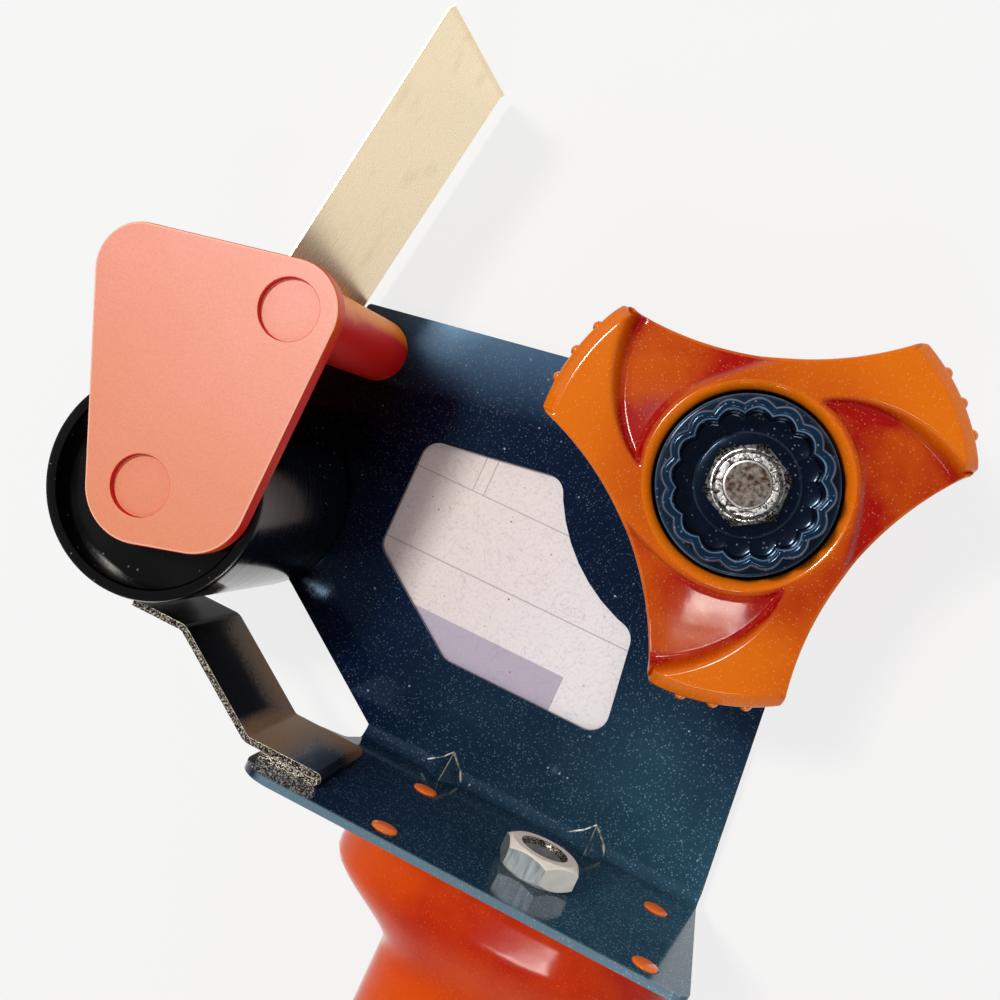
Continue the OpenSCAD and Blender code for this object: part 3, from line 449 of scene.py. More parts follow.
def result_of(piece, *tools):
    """Mesh of a piece with its modifiers applied. The piece and its tools are removed."""
    bpy.context.view_layer.update()
    mesh = bpy.data.meshes.new_from_object(piece.evaluated_get(bpy.context.evaluated_depsgraph_get()))
    bm = bmesh.new()
    bm.from_mesh(mesh)
    for used in (piece, *tools):
        bpy.data.objects.remove(used)
    bpy.data.meshes.remove(mesh)
    return bm


def grown(name, bm, tree, inputs):
    """Mesh that a Geometry Nodes tree makes from bm, applied once for each set of inputs by name."""
    seed = placed(name + " seed", bm)
    for values in inputs:
        step = seed.modifiers.new("copies", "NODES")
        step.node_group = tree
        for item in tree.interface.items_tree:
            if item.in_out == "INPUT" and item.name in values:
                step[item.identifier] = values[item.name]
    return result_of(seed)


def turned(profile, steps, axis="Z"):
    """Solid of revolution from (radius, height) points in mm, closed at the axis."""
    bm = bmesh.new()
    rows = [[bm.verts.new((r * math.cos(a) / 1000, r * math.sin(a) / 1000, h / 1000))
             for a in (2 * math.pi * i / steps for i in range(steps if r > 0 else 1))] for r, h in profile]
    for low, high in zip(rows, rows[1:]):
        for i in range(steps):
            ring = [low[i % len(low)], low[(i + 1) % len(low)], high[(i + 1) % len(high)], high[i % len(high)]]
            bm.faces.new(list(dict.fromkeys(ring)))
    bmesh.ops.recalc_face_normals(bm, faces=bm.faces)
    if axis == "Y":
        bmesh.ops.rotate(bm, verts=bm.verts, cent=(0, 0, 0), matrix=Matrix.Rotation(math.radians(-90), 3, "X"))
    return bm


copies_in_row, given, add = new_tree("row of copies", Count="Int", Start="Vector", Step="Vector")
line = add("GeometryNodeMeshLine", {"Count": given["Count"], "Start Location": given["Start"],
                                    "Offset": given["Step"]}, mode="OFFSET")
copies = add("GeometryNodeInstanceOnPoints", {"Points": line, "Instance": given["Geometry"]})
close_tree(add, copies, given)
peg = turned([(0, -2.4), (2.5, -2.4), (2.5, 0.05), (2.42, 0.25), (2.2, 0.38), (1.4, 0.52), (0, 0.58)], 40, "Y")
pegs = grown("pegs", peg, copies_in_row, [
    {"Count": 2, "Start": (-0.0319, -0.082, 0.0195), "Step": (0.051, 0, 0), "Finish": peg_abs},
    {"Count": 2, "Start": (0, 0, 0), "Step": (0, 0, 0.0315), "Finish": peg_abs}])
fitted("grip_pegs", pegs, [peg_abs], "frame_body", "orange_gloss")


# Handle bolt: a plated hex bolt up through the grip, with a flat washer under its head and a short nut
# straight on the base. Zinc plate is bright and a little hazy, with scuffs about 1.6 mm apart.
plated = two_tone("bright zinc plate", (1.6, 1.6, 1.6), ("#eceae6", "#b4b8b8"), {"Metallic": 1}, span=(0.35, 0.7),
                  rough=(0.10, 0.30), relief=(0.15, 0.00005), Detail=3)
# Brushed zinc: the nut's flats are drawn dull and bright across, about 0.5 mm apart, darker than the faces painted as
# lit.
brushed = two_tone("brushed zinc plate", (5 / 9, 4, 5 / 9), ("#5d676b", "#c8d0d3"),
                   {"Metallic": 0.75, "Roughness": 0.45}, relief=(0.35, 0.0001), Detail=3)
# Painted light: the nut's chamfered top and its rear sides are painted a pale cream as lit faces, a little uneven
# every 2 mm.
painted_lit_zinc = two_tone("zinc plate painted as lit", (2, 2, 2), ("#e6e0d2", "#fffdf4"), {"Metallic": 0.1, "Roughness": 0.4},
                 Detail=2)
bolt_end_from = -0.079
# The bolt's end, up inside the nut, takes the darker brushed finish as painted shade.
for node, slot in (("handle_bolt", "chrome"), ("handle_bolt_washer", "steel")):
    bm = softened(node, 0.2)
    for face in bm.faces:
        face.material_index = 1 if face.calc_center_median().y > bolt_end_from else 0
    fitted(node + "_plated", bm, [plated, brushed], "frame_body", slot, node)
bm = softened("handle_nut", 0.2)
nut_at, sink_y, bore_edge, sink_edge = Vector((bolt_x / 1000, 0, bolt_z / 1000)), -0.0775, 0.0045, 0.00495
# Its bore is countersunk, 0.8 mm deep, and it stopped at an angle.
bmesh.ops.bisect_plane(bm, geom=[*bm.verts, *bm.edges, *bm.faces], dist=1e-7, plane_co=(0, sink_y, 0),
                       plane_no=(0, 1, 0))
for v in bm.verts:
    out = Vector((v.co.x - nut_at.x, 0, v.co.z - nut_at.z))
    if out.length < bore_edge and v.co.y > sink_y + 0.0004:
        v.co += 0.15 * out
bmesh.ops.rotate(bm, verts=bm.verts, cent=nut_at, matrix=Matrix.Rotation(math.radians(14), 3, "Y"))
# The bore's faces take the dark sheared steel as painted shade in the hole.
for face in bm.faces:
    inner = max(math.hypot(v.co.x - nut_at.x, v.co.z - nut_at.z) for v in face.verts) < sink_edge
    face.material_index = 2 if inner else 1 if abs(face.normal.y) > 0.3 or face.normal.x > 0.2 else 0
fitted("handle_nut_plated", bm, [brushed, painted_lit_zinc, sheared], "frame_body", "chrome", "handle_nut")


# Spindle: a turned steel pin riveted through the side plate, flat-headed outside and threaded inside,
# with a nylon thrust washer between plate and hub. Its end face is rough and brown where it was cut off.
pin_end = 0.0613
pin, shader, where, add = finish_of("turned steel")
rust = add("TexNoise", {"Vector": where, "Scale": 1000 / 0.8, "Detail": 4})
level = add("SeparateXYZ", (where,))
ended = add("MapRange", {"Value": level.outputs["Z"], "From Min": pin_end + 0.00001, "From Max": pin_end + 0.00004})
spots = add("MapRange", {"Value": rust, "From Min": 0.35, "From Max": 0.65, "To Min": 0.75, "To Max": 1})
brown = add("Math", (ended, spots), operation="MULTIPLY")
tone = add("Mix", {0: brown, 6: "#c9cac8", 7: "#3c261d"}, data_type="RGBA")
rough = add("MapRange", {"Value": brown, "To Min": 0.25, "To Max": 0.55})
join(shader, {"Base Color": tone, "Roughness": rough, "Metallic": 1})
bm = softened("hub_spindle", 0.25)
# The cut face stands 0.05 mm proud of a bright rim, 0.4 mm wide.
end = max(bm.faces, key=lambda face: face.calc_center_median().z)
bmesh.ops.inset_region(bm, faces=[end], thickness=0.0004)
for v in end.verts:
    v.co.z += 0.00005
fitted("turned_spindle", bm, [pin], "frame_body", "steel", "hub_spindle")

# Nylon: milky and waxy, a little uneven every 6 mm.
nylon = two_tone("plain nylon", (6, 6, 6), ("#d8d5c9", "#ece9de"),
                 {"Roughness": 0.42, "Subsurface Weight": 0.2, "Subsurface Scale": 0.002}, Detail=2)
fitted("thrust_ring", softened("hub_thrust_washer", 0.15), [nylon], "frame_body", "friction_pad", "hub_thrust_washer")
fitted("bearing_sleeve", softened("hub_bush", 0.15), [nylon], "tape_hub", "friction_pad", "hub_bush")


# Hub: a three-lobed ABS moulding, hollow behind, that carries the tape's core. On its front a scoop
# sweeps in beside each lobe, from a crease across the lobe round the collar to the next lobe.
hub_abs = orange_abs("glossy ABS of the hub", "#e07208", "#a00c02", 0.3)
lobes, hub_low, hub_face, hub_r, waist_r = (46, 166, 286), 5.6, 58.0, 37.0, 21.5
well_r, collar_r, lip_r, bore_r, boss_r, skirt_r = 15.8, 17.2, 1.6, 6.56, 8.96, 18.5
wall, floor_top, floor_under, face_under = 2.4, 40.0, 37.6, 50.6
hollow_at = (hub_r ** 2 - waist_r ** 2) / (2 * (hub_r * math.cos(math.radians(42)) - waist_r))
hollow_r = hollow_at - waist_r
sectors, front_steps = 720, 46


def hub_edge(degrees, inset=0.0):
    """Radius of the lobed outline, drawn in by inset, its corners eased."""
    off = math.radians((degrees - lobes[0]) % 120 - 60)
    side = (hollow_r + inset) ** 2 - (hollow_at * math.sin(off)) ** 2
    dip = hollow_at * math.cos(off) - math.sqrt(side) if side > 0 else 99.0
    end, blend = hub_r - inset, 1.8
    near = max(blend - abs(dip - end), 0) / blend
    return min(dip, end) - near * near * blend / 4


def beside_lobes(degrees):
    """Angles of a point from each lobe in whose scoop it can lie."""
    for lobe in lobes:
        off = (degrees - lobe + 180) % 360 - 180
        if -100 < off < 40:
            yield off


def past_crease(off, r):
    """Distance of a point from its lobe's crease, along the arc, positive in the scoop."""
    return math.radians(24 - 2.71 * (r - 20.5) - off) * r


def scoop_share(degrees, r):
    """How far a point of the front lies in its scoop: 0 on the land, 1 on the scoop's floor."""
    best = 0.0
    for off in beside_lobes(degrees):
        inside = past_crease(off, r) * math.cos(math.atan(0.0473 * r))
        crest = collar_r + 8.5 * max(0.0, (-off - 10) / 76) ** 3 + max(0.0, (-off - 72) / 6) ** 2
        best = max(best, ease(inside / (1.2 + 0.12 * (r - collar_r))) * ease((r - crest) / 1.9))
    return best


def hub_top(degrees, r):
    """Height of the front at a point: a lip rounded into the well, and the scoop, steepest beside the lip."""
    lip = max(0.0, well_r + lip_r - r)
    past = max(0.0, r - collar_r)
    fall = 0.8 * ease(past / 2) + 4.2 * past / (hub_r - collar_r)
    return hub_face - lip_r + math.sqrt(lip_r ** 2 - lip ** 2) - fall * scoop_share(degrees, r)


def painted_reddening(degrees, r):
    """How much a point is painted redder as painted shade: most beside the crease, less on the scoop's floor and the
    land by the collar, and all over the waist near -20 degrees."""
    share = scoop_share(degrees, r)
    beside = 0.0
    for off in beside_lobes(degrees):
        inside = past_crease(off, r)
        if inside > 0:
            beside = max(beside, 1 - ease(inside / (4 + 0.35 * (r - collar_r))))
    by_collar = 0.3 * (1 - ease((r - collar_r) / 14))
    painted_deep_shade = 0.7 * (1 - ease(abs((degrees + 20 + 180) % 360 - 180) / 52)) * ease((r - well_r) / 5)
    return by_collar + painted_deep_shade + share * (0.55 + 0.7 * beside)


angles = [360 * i / sectors for i in range(sectors)]
rings, hollows = [], []


def hub_ring(place, hollow=0.0):
    """Adds a ring of the hub from each angle's radius and height, and how much painted shade reddens it."""
    ring = []
    for a in angles:
        r, z = place(a)
        ring.append((r * math.cos(math.radians(a)), r * math.sin(math.radians(a)), z))
    rings.append(ring)
    hollows.append([hollow(a) if callable(hollow) else hollow for a in angles])


# Rims as (inset, fall) steps in mm: the lead-in on the lobe ends, and the small round along the hollows.
lead_rim = [(2.5, 0.0), (2.2, 0.08), (1.9, 0.32), (1.0, 1.12), (0.4, 1.66), (0.15, 1.98), (0.0, 2.5)]
hollow_rim = [(0.7 - 0.7 * math.sin(t), 0.7 - 0.7 * math.cos(t)) for t in (math.pi * k / 12 for k in range(7))]


def rim(a, step):
    """Inset and fall of a rim step at an angle."""
    lobe = ease((hub_edge(a) - hub_r + 1.4) / 1.0)
    return [h + (l - h) * lobe for l, h in zip(lead_rim[step], hollow_rim[step])]


# Painted shade: the bore, the well, the rims and the hub's back are painted redder.
for r, z, red in ((bore_r, hub_low, 0), (bore_r, floor_top, 0.6), (well_r - 0.6, floor_top, 0.6),
                  (well_r, floor_top + 0.6, 0.6), (well_r, hub_face - 1.8, 0.3)):
    hub_ring(lambda a: (r, z), red)
for t in (0.03, 0.12, 0.27, 0.45, 0.7, 1.0):
    hub_ring(lambda a: (well_r + lip_r * t, hub_top(a, well_r + lip_r * t)))
for k in range(1, front_steps + 1):
    def on_front(a):
        r = well_r + lip_r + (hub_edge(a) - rim(a, 0)[0] - well_r - lip_r) * k / front_steps
        return r, hub_top(a, r)
    hub_ring(on_front, lambda a: painted_reddening(a, on_front(a)[0]))
for step in range(1, 7):
    def on_rim(a):
        inset, fall = rim(a, step)
        return hub_edge(a) - inset, hub_top(a, hub_edge(a) - rim(a, 0)[0]) - fall
    hub_ring(on_rim, lambda a: 0.5 * painted_reddening(a, hub_edge(a) - rim(a, 0)[0]))
for inset, z in ((0, 45.0), (0, hub_low + 0.4), (0.4, hub_low)):
    hub_ring(lambda a: (hub_edge(a) - inset, z))
for z, red in ((hub_low, 0.5), (face_under, 0.8)):
    hub_ring(lambda a: (hub_edge(a, wall), z), red)
for r, z, red in ((skirt_r, face_under, 0.8), (skirt_r, floor_under, 0.8), (boss_r, floor_under, 0.8),
                  (boss_r, hub_low, 0.5)):
    hub_ring(lambda a: (r, z), red)
bm = loft(rings)
bm.verts.ensure_lookup_table()
deep_shade = bm.verts.layers.float.new("hollow")
for v, share in zip(bm.verts, (h for row in hollows for h in row)):
    v[deep_shade] = share
fitted("swirled_hub", bm, [hub_abs], "tape_hub", "orange_gloss", "hub", crease=50)

# Ribs on the lobe ends grip the core's bore: one rounded rib, set round each end and round the lobes.
copies_in_ring, given, add = new_tree("ring of copies", Count="Int", First="Float", Step="Float")
line = add("GeometryNodeMeshLine", {"Count": given["Count"], "Offset": (0, 0, 0)}, mode="OFFSET")
index = add("GeometryNodeInputIndex")
angle = add("ShaderNodeMath", (index, given["Step"], given["First"]), operation="MULTIPLY_ADD")
about = add("ShaderNodeCombineXYZ", {"Z": angle})
copies = add("GeometryNodeInstanceOnPoints", {"Points": line, "Instance": given["Geometry"], "Rotation": about})
close_tree(add, copies, given)
rib = turned([(0, 8.6), (1.1, 8.6), (1.1, 54.0), (1.0, 54.6), (0.7, 55.1), (0, 55.3)], 20)
bmesh.ops.translate(rib, verts=rib.verts, vec=(0.0368, 0, 0))
pitch = math.radians(18 * 1.9 / 4)
ribs = grown("ribs", rib, copies_in_ring, [
    {"Count": 3, "First": math.radians(lobes[0]) - pitch, "Step": pitch, "Finish": hub_abs},
    {"Count": 3, "First": 0.0, "Step": math.radians(120), "Finish": hub_abs}])
fitted("core_ribs", ribs, [hub_abs], "tape_hub", "orange_gloss")


# Brake: a keyed disc on the hub's floor, a compression spring and a cap washer, which the knob presses
# down to hold the hub back. The knob is a scalloped cup of navy ABS with a plated nut moulded in.
fitted("keyed_disc", softened("brake_disc", 0.15), [plated], "frame_body", "steel", "brake_disc")
fitted("cap_washer", softened("spring_cap_washer", 0.15), [plated], "brake_carrier", "steel", "spring_cap_washer")

# Scratched plate with painted glints: the nut's top is painted bright and dark every 1.3 mm, and its outer corners
# are darker.
scratched_and_glinting = two_tone("scratched zinc plate", (1.3, 1.3, 1.3), ("#4a3f38", "#fffdf8"),
                     {"Metallic": 0.8, "Roughness": 0.25}, span=(0.4, 0.58), relief=(0.5, 0.0001), Detail=3,
                     Distortion=2)
nut_middle, corner_r = 59, 0.0069
bm = softened("brake_nut", 0.45, 5, lambda at: 0.3 if at.z < nut_middle else None)
for face in bm.faces:
    corner = max(v.co.xy.length for v in face.verts) > corner_r
    face.material_index = 0 if face.normal.z < 0.2 else 2 if corner else 1
fitted("knob_nut", bm, [plated, scratched_and_glinting, sheared], "brake_dial", "chrome", "brake_nut")

wound_wire, given, add = new_tree("wound wire", Turns="Float", Radius="Float", Low="Float", Height="Float",
                                  Wire="Float")
helix = add("GeometryNodeCurveSpiral", {"Resolution": 48, "Rotations": given["Turns"], "Height": given["Height"],
                                        "Start Radius": given["Radius"], "End Radius": given["Radius"]})
lift = add("ShaderNodeCombineXYZ", {"Z": given["Low"]})
raised = add("GeometryNodeTransform", {"Geometry": helix, "Translation": lift})
section = add("GeometryNodeCurvePrimitiveCircle", {"Resolution": 16, "Radius": given["Wire"]})
wire = add("GeometryNodeCurveToMesh", {"Curve": raised, "Profile Curve": section, "Fill Caps": True})
close_tree(add, wire, given)
coil = grown("spring", bmesh.new(), wound_wire, [
    {"Turns": 4.25, "Radius": 0.008, "Low": 0.04235, "Height": 0.0086, "Wire": 0.00075, "Finish": plated}])
spring = fitted("wound_spring", coil, [plated], None, "steel", "brake_spring")
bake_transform(spring)

# Navy ABS: painted almost black in the dish as painted shade, bluer on the wall, with painted highlights along its
# edges, and dust in the dish, drawn at 0.3 mm so that it shows.
navy, shader, where, add = finish_of("navy ABS")
dish_shade = add("Attribute", attribute_name="hollow")
worn = add("Attribute", attribute_name="worn")
flow = add("TexNoise", {"Vector": where, "Scale": 1000 / 5, "Detail": 3})
wall = add("Mix", {0: flow, 6: "#06101f", 7: "#112a42"}, data_type="RGBA")
painted_deep_shade = add("Mix", {0: dish_shade.outputs["Fac"], 6: wall, 7: "#02041a"}, data_type="RGBA")
patchy_highlight = add("MapRange", {"Value": flow, "From Min": 0.25, "From Max": 0.6, "To Min": 0.3, "To Max": 0.95})
rubbed_and_highlit = add("Math", (worn.outputs["Fac"], patchy_highlight), operation="MULTIPLY")
edge_highlit = add("Mix", {0: rubbed_and_highlit, 6: painted_deep_shade, 7: "#86aacb"}, data_type="RGBA")
dust = add("Math", (specks(add, where, 0.8, 0.42, 0.5), 0.6), operation="MULTIPLY")
dusty = add("Mix", {0: dust, 6: edge_highlit, 7: "#9fb2c6"}, data_type="RGBA")
gloss = add("MapRange", {"Value": flow, "To Min": 0.1, "To Max": 0.2})
join(shader, {"Base Color": dusty, "Roughness": gloss, "Specular IOR Level": 0.4, "Specular Tint": "#a8cdf2"})

scallops, knob_r, knob_brim, pocket_r, knob_steps = 16, 13.2, 63.5, 6.55, 16 * 30
knob_turn = [2 * math.pi * i / knob_steps for i in range(knob_steps)]
rings, dish_shade_rows, edge_highlight_rows = [], [], []


def scallop(a, inset):
    """Radius of the scalloped wall, drawn in by inset."""
    return knob_r - inset + abs(math.cos(scallops * (a - math.radians(16)) / 2))


def pocket(a):
    """Radius of the hexagonal pocket round the nut."""
    return pocket_r / math.cos(((a - math.radians(32)) % (math.pi / 3)) - math.pi / 6)


def knob_ring(radius, z, dish_shade=0.0, worn=0.0):
    """Adds a ring of the knob, with its painted shade and its painted edge highlight."""
    at = [radius(a) if callable(radius) else radius for a in knob_turn]
    rings.append([(r * math.cos(a), r * math.sin(a), z) for r, a in zip(at, knob_turn)])
    dish_shade_rows.append(dish_shade)
    edge_highlight_rows.append(worn)


for r, z in ((4.06, 54.5), (4.06, 53), (10.7, 53), (10.7, 51.2), (10.9, 51), (15.0, 51), (15.3, 51.3), (15.3, 56.3)):
    knob_ring(r, z)
# Painted highlights on the edges of the ring, the brim and the dish's rim, and painted shade down into the dish.
for r, z, edge in ((15.28, 56.6, 0.1), (15.2, 56.8, 0.5), (15.0, 56.97, 0.1), (14.7, 57.0, 0.0)):
    knob_ring(r, z, 0, edge)
knob_ring(lambda a: scallop(a, 0.15), 57.0, 0.3)
knob_ring(lambda a: scallop(a, 0), 57.3, 0.1)
for t in range(13):
    lean = math.pi * t / 12
    edge = {3: 0.4, 9: 0.7}.get(t, 0.0)
    knob_ring(lambda a: scallop(a, 1 - math.cos(lean)), knob_brim + math.sin(lean), 0 if t < 9 else (t - 8) / 5, edge)
for inset, z in ((2.0, 60), (2.0, 56.4), (2.15, 56.1), (2.5, 56)):
    knob_ring(lambda a: scallop(a, inset), z, 1)
for r, z, edge in ((9.1, 56, 0), (8.95, 56.2, 0.12), (8.8, 56.35, 0.12), (8.5, 56.42, 0)):
    knob_ring(r, z, 1, edge)
knob_ring(pocket, 56.42, 1)
knob_ring(pocket, 54.5, 1)
bm = loft(rings)
for name, rows in (("hollow", dish_shade_rows), ("worn", edge_highlight_rows)):
    layer = bm.verts.layers.float.new(name)
    for v, value in zip(bm.verts, (value for value in rows for _ in knob_turn)):
        v[layer] = value
fitted("scalloped_knob", bm, [navy], "brake_dial", "navy_gloss", "brake_knob", crease=38)


# Roller: a glossy black moulded drum that turns on the guard's lower post, hollow at both ends,
# with fine scratches round it from the tape, about 0.4 mm apart.
roller_x, roller_y, low, high = -95.3, -44.2, 4.8, 56.9
drum, shader, where, add = finish_of("black polystyrene")
centred = add("Mapping", {"Vector": where, "Location": (-roller_x / 1000, -roller_y / 1000, 0)})
around = add("VectorMath", (centred, (60, 60, 2600)), operation="MULTIPLY")
scratch = add("TexNoise", {"Vector": around, "Scale": 1, "Detail": 2})
tone = add("Mix", {0: specks(add, where, 1.8, 0.5, 0.4), 6: "#040405", 7: "#8f969a"}, data_type="RGBA")
gloss = add("MapRange", {"Value": scratch, "From Min": 0.3, "From Max": 0.7, "To Min": 0.1, "To Max": 0.24})
join(shader, {"Base Color": tone, "Roughness": gloss, "Specular IOR Level": 0.3})
half = [(6.06, 0), (8.2, 0), (8.56, 0.36), (8.56, 4), (18.5, 4), (18.5, 0.5), (18.9, 0), (20.2, 0), (20.77, 0.23),
        (21, 0.8)]
profile = [(r, low + d) for r, d in half] + [(r, high - d) for r, d in reversed(half)]
bm = loft([[(roller_x + r * math.cos(a), roller_y + r * math.sin(a), z) for a in turn] for r, z in profile])
fitted("drum_roller", bm, [drum], "front_roller", "roller_black", "roller")


# Guard: an ABS plate moulded with two posts, one of them the roller's axle, screwed on from the far side.
# Its front is a fine spark-eroded grain, paler than its sides, with a painted sheen towards its top and a painted
# highlight along its edge.
grain, shader, where, add = finish_of("grained ABS")
cloud = add("TexNoise", {"Vector": where, "Scale": 1000 / 16, "Detail": 3})
rise = add("SeparateXYZ", (where,))
# Painted sheen: pinker towards the top.
painted_upper_sheen = add("MapRange", {"Value": rise.outputs["Y"], "From Min": -0.05, "From Max": 0.0})
mixed = add("Math", (painted_upper_sheen, cloud), operation="MULTIPLY")
tone = add("Mix", {0: mixed, 6: "#dc845e", 7: "#ec948c"}, data_type="RGBA")
spark = add("TexNoise", {"Vector": where, "Scale": 1000 / 0.45, "Detail": 2})
fleck = add("MapRange", {"Value": spark, "From Min": 0.35, "From Max": 0.7, "To Max": 0.28})
speckled = add("Mix", {0: fleck, 6: tone, 7: "#c96a4c"}, data_type="RGBA")
# Painted highlight along the front's rim.
worn = add("Attribute", attribute_name="worn")
edge_highlit = add("Mix", {0: worn.outputs["Fac"], 6: speckled, 7: "#ffd6ba"}, data_type="RGBA")
relief = add("Bump", {"Height": spark, "Strength": 0.25, "Distance": 0.00006})
join(shader, {"Base Color": edge_highlit, "Normal": relief, "Roughness": 0.42, "IOR": 1.53})
# Its sides and posts are satin rather than glossy, and brighter than the grip.
guard_abs = orange_abs("satin ABS of the guard", "#ff9a22", "#d41004", 0.15, 0.42, 0.5)
post_x, post_y, plate_back, recess_low, rim_low, rim_high = -83.3, -5.2, 57.6, 60.3, 61.7, 61.98


def recess_edge(at):
    """Width of the edge's rounding at the two recesses in the front, in mm, and none elsewhere."""
    near = min(math.hypot(at.x - roller_x, at.y - roller_y), math.hypot(at.x - post_x, at.y - post_y))
    return 0.2 if at.z > recess_low and near < 6.2 else None


bm = softened("cheek_plate", 0.7, 4, recess_edge)
shade, rubbed_and_highlit = (bm.verts.layers.float.new(name) for name in ("hollow", "worn"))
# Painted light and shade: the post is painted orange on its upper side and red below, the recess walls and the
# plate's sides red as shade, and the front's rim gets a painted highlight.
for v in bm.verts:
    at = 1000 * v.co
    from_post = Vector((at.x - post_x, at.y - post_y))
    if at.z < plate_back and from_post.length < 9:
        v[shade] = 1.2 - 1.3 * ease((from_post.y / from_post.length - 0.25) / 0.6)
    else:
        v[shade] = 1.6 if recess_edge(at) else 0.9
        v[rubbed_and_highlit] = 0.55 if rim_low < at.z < rim_high and not recess_edge(at) else 0.0
for face in bm.faces:
    face.material_index = 0 if face.normal.z > 0.6 and face.calc_center_median().z > 0.06 else 1
fitted("grained_guard", bm, [grain, guard_abs], "frame_body", "coral_grain", "cheek_plate")


# The screws are plated pan heads with a cross recess, from the far side.
def screw(head_r, head_h, shank_r, shank):
    """Pan-head screw along Z in mm, its head's top at 0 and its point at shank below."""
    blank = placed("screw blank", turned(
        [(0, 0), (head_r * 0.7, 0), (head_r * 0.86, -head_h * 0.1), (head_r * 0.97, -head_h * 0.36),
         (head_r, -head_h * 0.55), (head_r, -head_h), (shank_r, -head_h), (shank_r, -shank + 0.8),
         (shank_r * 0.7, -shank), (0, -shank)], 48))
    cross = bmesh.new()
    for size in ((head_r * 0.26, head_r * 1.1, head_h * 1.1), (head_r * 1.1, head_r * 0.26, head_h * 1.1)):
        made = bmesh.ops.create_cube(cross, size=1)
        bmesh.ops.scale(cross, verts=made["verts"], vec=Vector(size) / 1000)
    tool = placed("cross tool", cross)
    cut = blank.modifiers.new("recess", "BOOLEAN")
    cut.object, cut.operation, cut.use_self = tool, "DIFFERENCE", True
    return result_of(blank, tool)


bm = screw(4, 2.5, 2, 18)
bmesh.ops.rotate(bm, verts=bm.verts, cent=(0, 0, 0), matrix=Matrix.Rotation(math.pi, 3, "X"))
screws = grown("guard screws", bm, copies_in_row, [
    {"Count": 2, "Start": (roller_x / 1000, roller_y / 1000, 0),
     "Step": ((post_x - roller_x) / 1000, (post_y - roller_y) / 1000, 0), "Finish": plated}])
fitted("guard_screws", screws, [plated], "frame_body", "steel", "cheek_screws")


# Blade and wiper: a serrated blade and the long bent wiper are clamped together on the frame's tab
# by two screws and nuts, behind the guard. The wiper is one strip of spring steel that flexes at its bend in use;
# here it is one fixed piece.
hardened = two_tone("ground blade steel", (10 / 3, 10 / 3, 0.2), ("#a9aaa8", "#d5d5d0"),
                    {"Metallic": 1, "Roughness": 0.28}, Detail=2)
fitted("serrated_blade", softened("cutter_blade", 0.08, 1), [hardened], "frame_body", "wiper_steel", "cutter_blade")
fitted("blade_nuts_plated", softened("blade_nuts", 0.15), [plated], "frame_body", "steel", "blade_nuts")

tab_end, tab_slope = Vector((-91.661, -1.173)), math.radians(11.4)
along_tab = Vector((math.cos(tab_slope), math.sin(tab_slope)))
above_tab = Vector((-math.sin(tab_slope), math.cos(tab_slope)))
blade_t, strip_t, head_h = 0.8, 0.5, 1.6
bm = screw(4, head_h, 2, 7.8)
bmesh.ops.rotate(bm, verts=bm.verts, cent=(0, 0, 0), matrix=Matrix.Rotation(math.radians(-90), 3, "X"))
bmesh.ops.rotate(bm, verts=bm.verts, cent=(0, 0, 0), matrix=Matrix.Rotation(tab_slope, 3, "Z"))
head_at = tab_end - 10.5 * along_tab + (blade_t + strip_t + head_h) * above_tab
screws = grown("blade screws", bm, copies_in_row, [
    {"Count": 2, "Start": (head_at.x / 1000, head_at.y / 1000, 0.017), "Step": (0, 0, 0.026), "Finish": plated}])
fitted("blade_screws_plated", screws, [plated], "frame_body", "steel", "blade_screws")

# Spring steel: polished along its length, in lines about 0.4 mm apart, to a bright sheen, its warm cream tone a
# painted reflection of warm surroundings, with a few dull stains every 9 mm.
spring_steel, shader, where, add = finish_of("polished spring steel")
stretch = add("VectorMath", (where, (120, 120, 2400)), operation="MULTIPLY")
polish = add("TexNoise", {"Vector": stretch, "Scale": 1, "Detail": 3})
stain = add("TexNoise", {"Vector": where, "Scale": 1000 / 9, "Detail": 4})
stained = add("MapRange", {"Value": stain, "From Min": 0.58, "From Max": 0.75, "To Max": 0.5})
tone = add("Mix", {0: stained, 6: "#fbe8bc", 7: "#d8c08e"}, data_type="RGBA")
satin = add("MapRange", {"Value": polish, "From Min": 0.3, "From Max": 0.7, "To Min": 0.24, "To Max": 0.3})
join(shader, {"Base Color": tone, "Roughness": satin, "Metallic": 0.55})

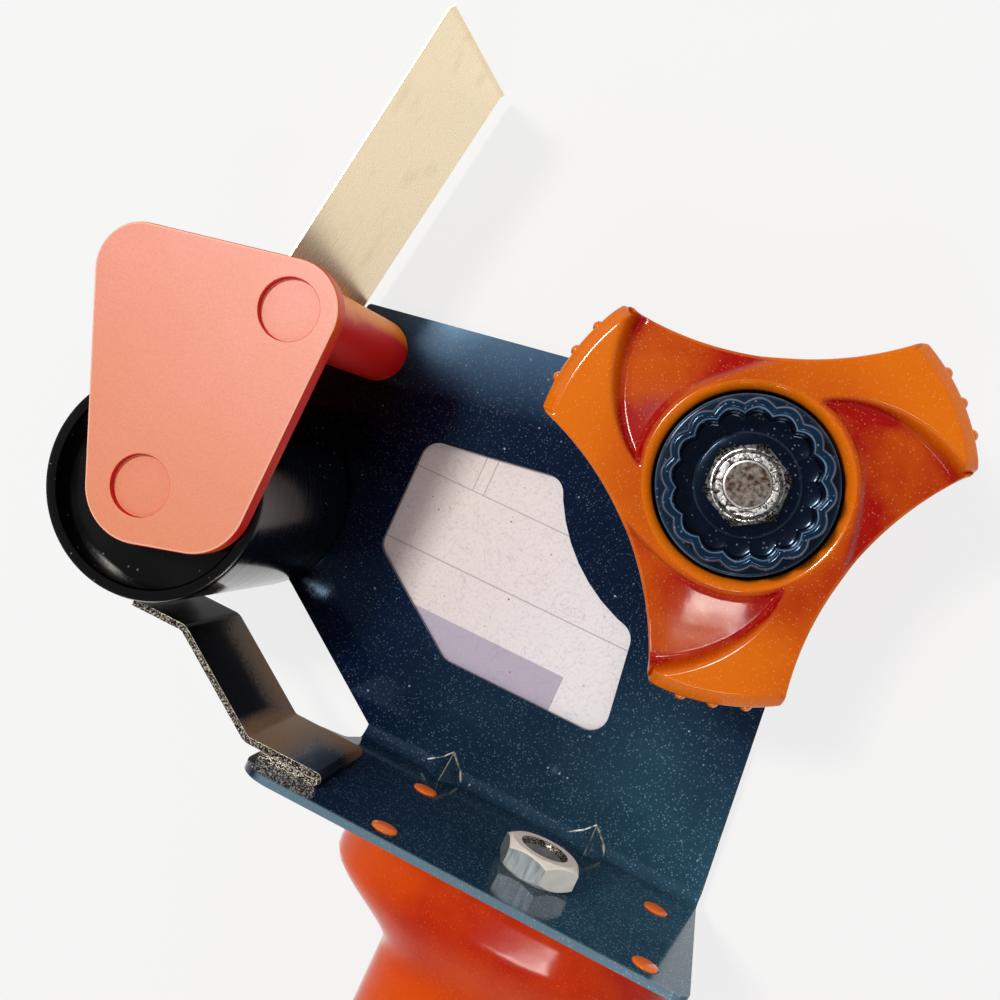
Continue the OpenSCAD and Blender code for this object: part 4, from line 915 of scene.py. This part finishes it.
wiper_lean, wiper_len, bend_r, lip_turn, lip_bend_r, strip_up = 9.5, 54, 1.25, 38, 1.5, blade_t + strip_t / 2
lean, lip_way = math.radians(90 - wiper_lean), math.radians(90 - wiper_lean - lip_turn)
up_wiper = Vector((math.cos(lean), math.sin(lean)))
bend_at = tab_end + 1.6 * along_tab + strip_up * above_tab
half = math.acos(max(-1, min(1, (-along_tab).dot(up_wiper)))) / 2
start = bend_at + up_wiper * bend_r / math.tan(half)
tip = start + wiper_len * up_wiper
corners = [(tab_end - 14 * along_tab + strip_up * above_tab, 0), (bend_at, bend_r), (tip, lip_bend_r),
           (tip + Vector((math.cos(lip_way), math.sin(lip_way))), 0)]
line = [corners[0][0]]
for (a, _), (b, r), (c, _) in zip(corners, corners[1:], corners[2:]):
    u, v = (a - b).normalized(), (c - b).normalized()
    corner = math.acos(u.dot(v)) / 2
    middle = b + (u + v).normalized() * r / math.sin(corner)
    first, last = b + u * r / math.tan(corner) - middle, b + v * r / math.tan(corner) - middle
    sweep = first.angle_signed(last)
    steps = [(line[-1].lerp(middle + first, k / 12)) for k in range(1, 12)]
    line += steps + [middle + Matrix.Rotation(-sweep * k / 8, 2) @ first for k in range(9)]
line += [line[-1].lerp(corners[-1][0], 0.5), corners[-1][0]]
sides = []
for i, p in enumerate(line):
    way = (line[min(i + 1, len(line) - 1)] - line[max(i - 1, 0)]).normalized()
    sides.append((p, Vector((-way.y, way.x))))
rings = []
for z, pull in ((5.0, 0.12), (5.12, 0.0), (54.88, 0.0), (55.0, 0.12)):
    out = strip_t / 2 - pull
    rings.append([(*(p + n * out), z) for p, n in sides] + [(*(p - n * out), z) for p, n in reversed(sides)])
bm = loft(rings, closed=False)
bm.verts.ensure_lookup_table()
count = len(rings[0])
for first in (0, len(bm.verts) - count):
    for i in range(count // 2 - 1):
        bm.faces.new([bm.verts[first + k] for k in (i, i + 1, count - 2 - i, count - 1 - i)])
bmesh.ops.recalc_face_normals(bm, faces=bm.faces)
wiper = fitted("spring_wiper", bm, [spring_steel], None, "wiper_steel", "wiper_foot", "wiper_plate")
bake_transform(wiper)
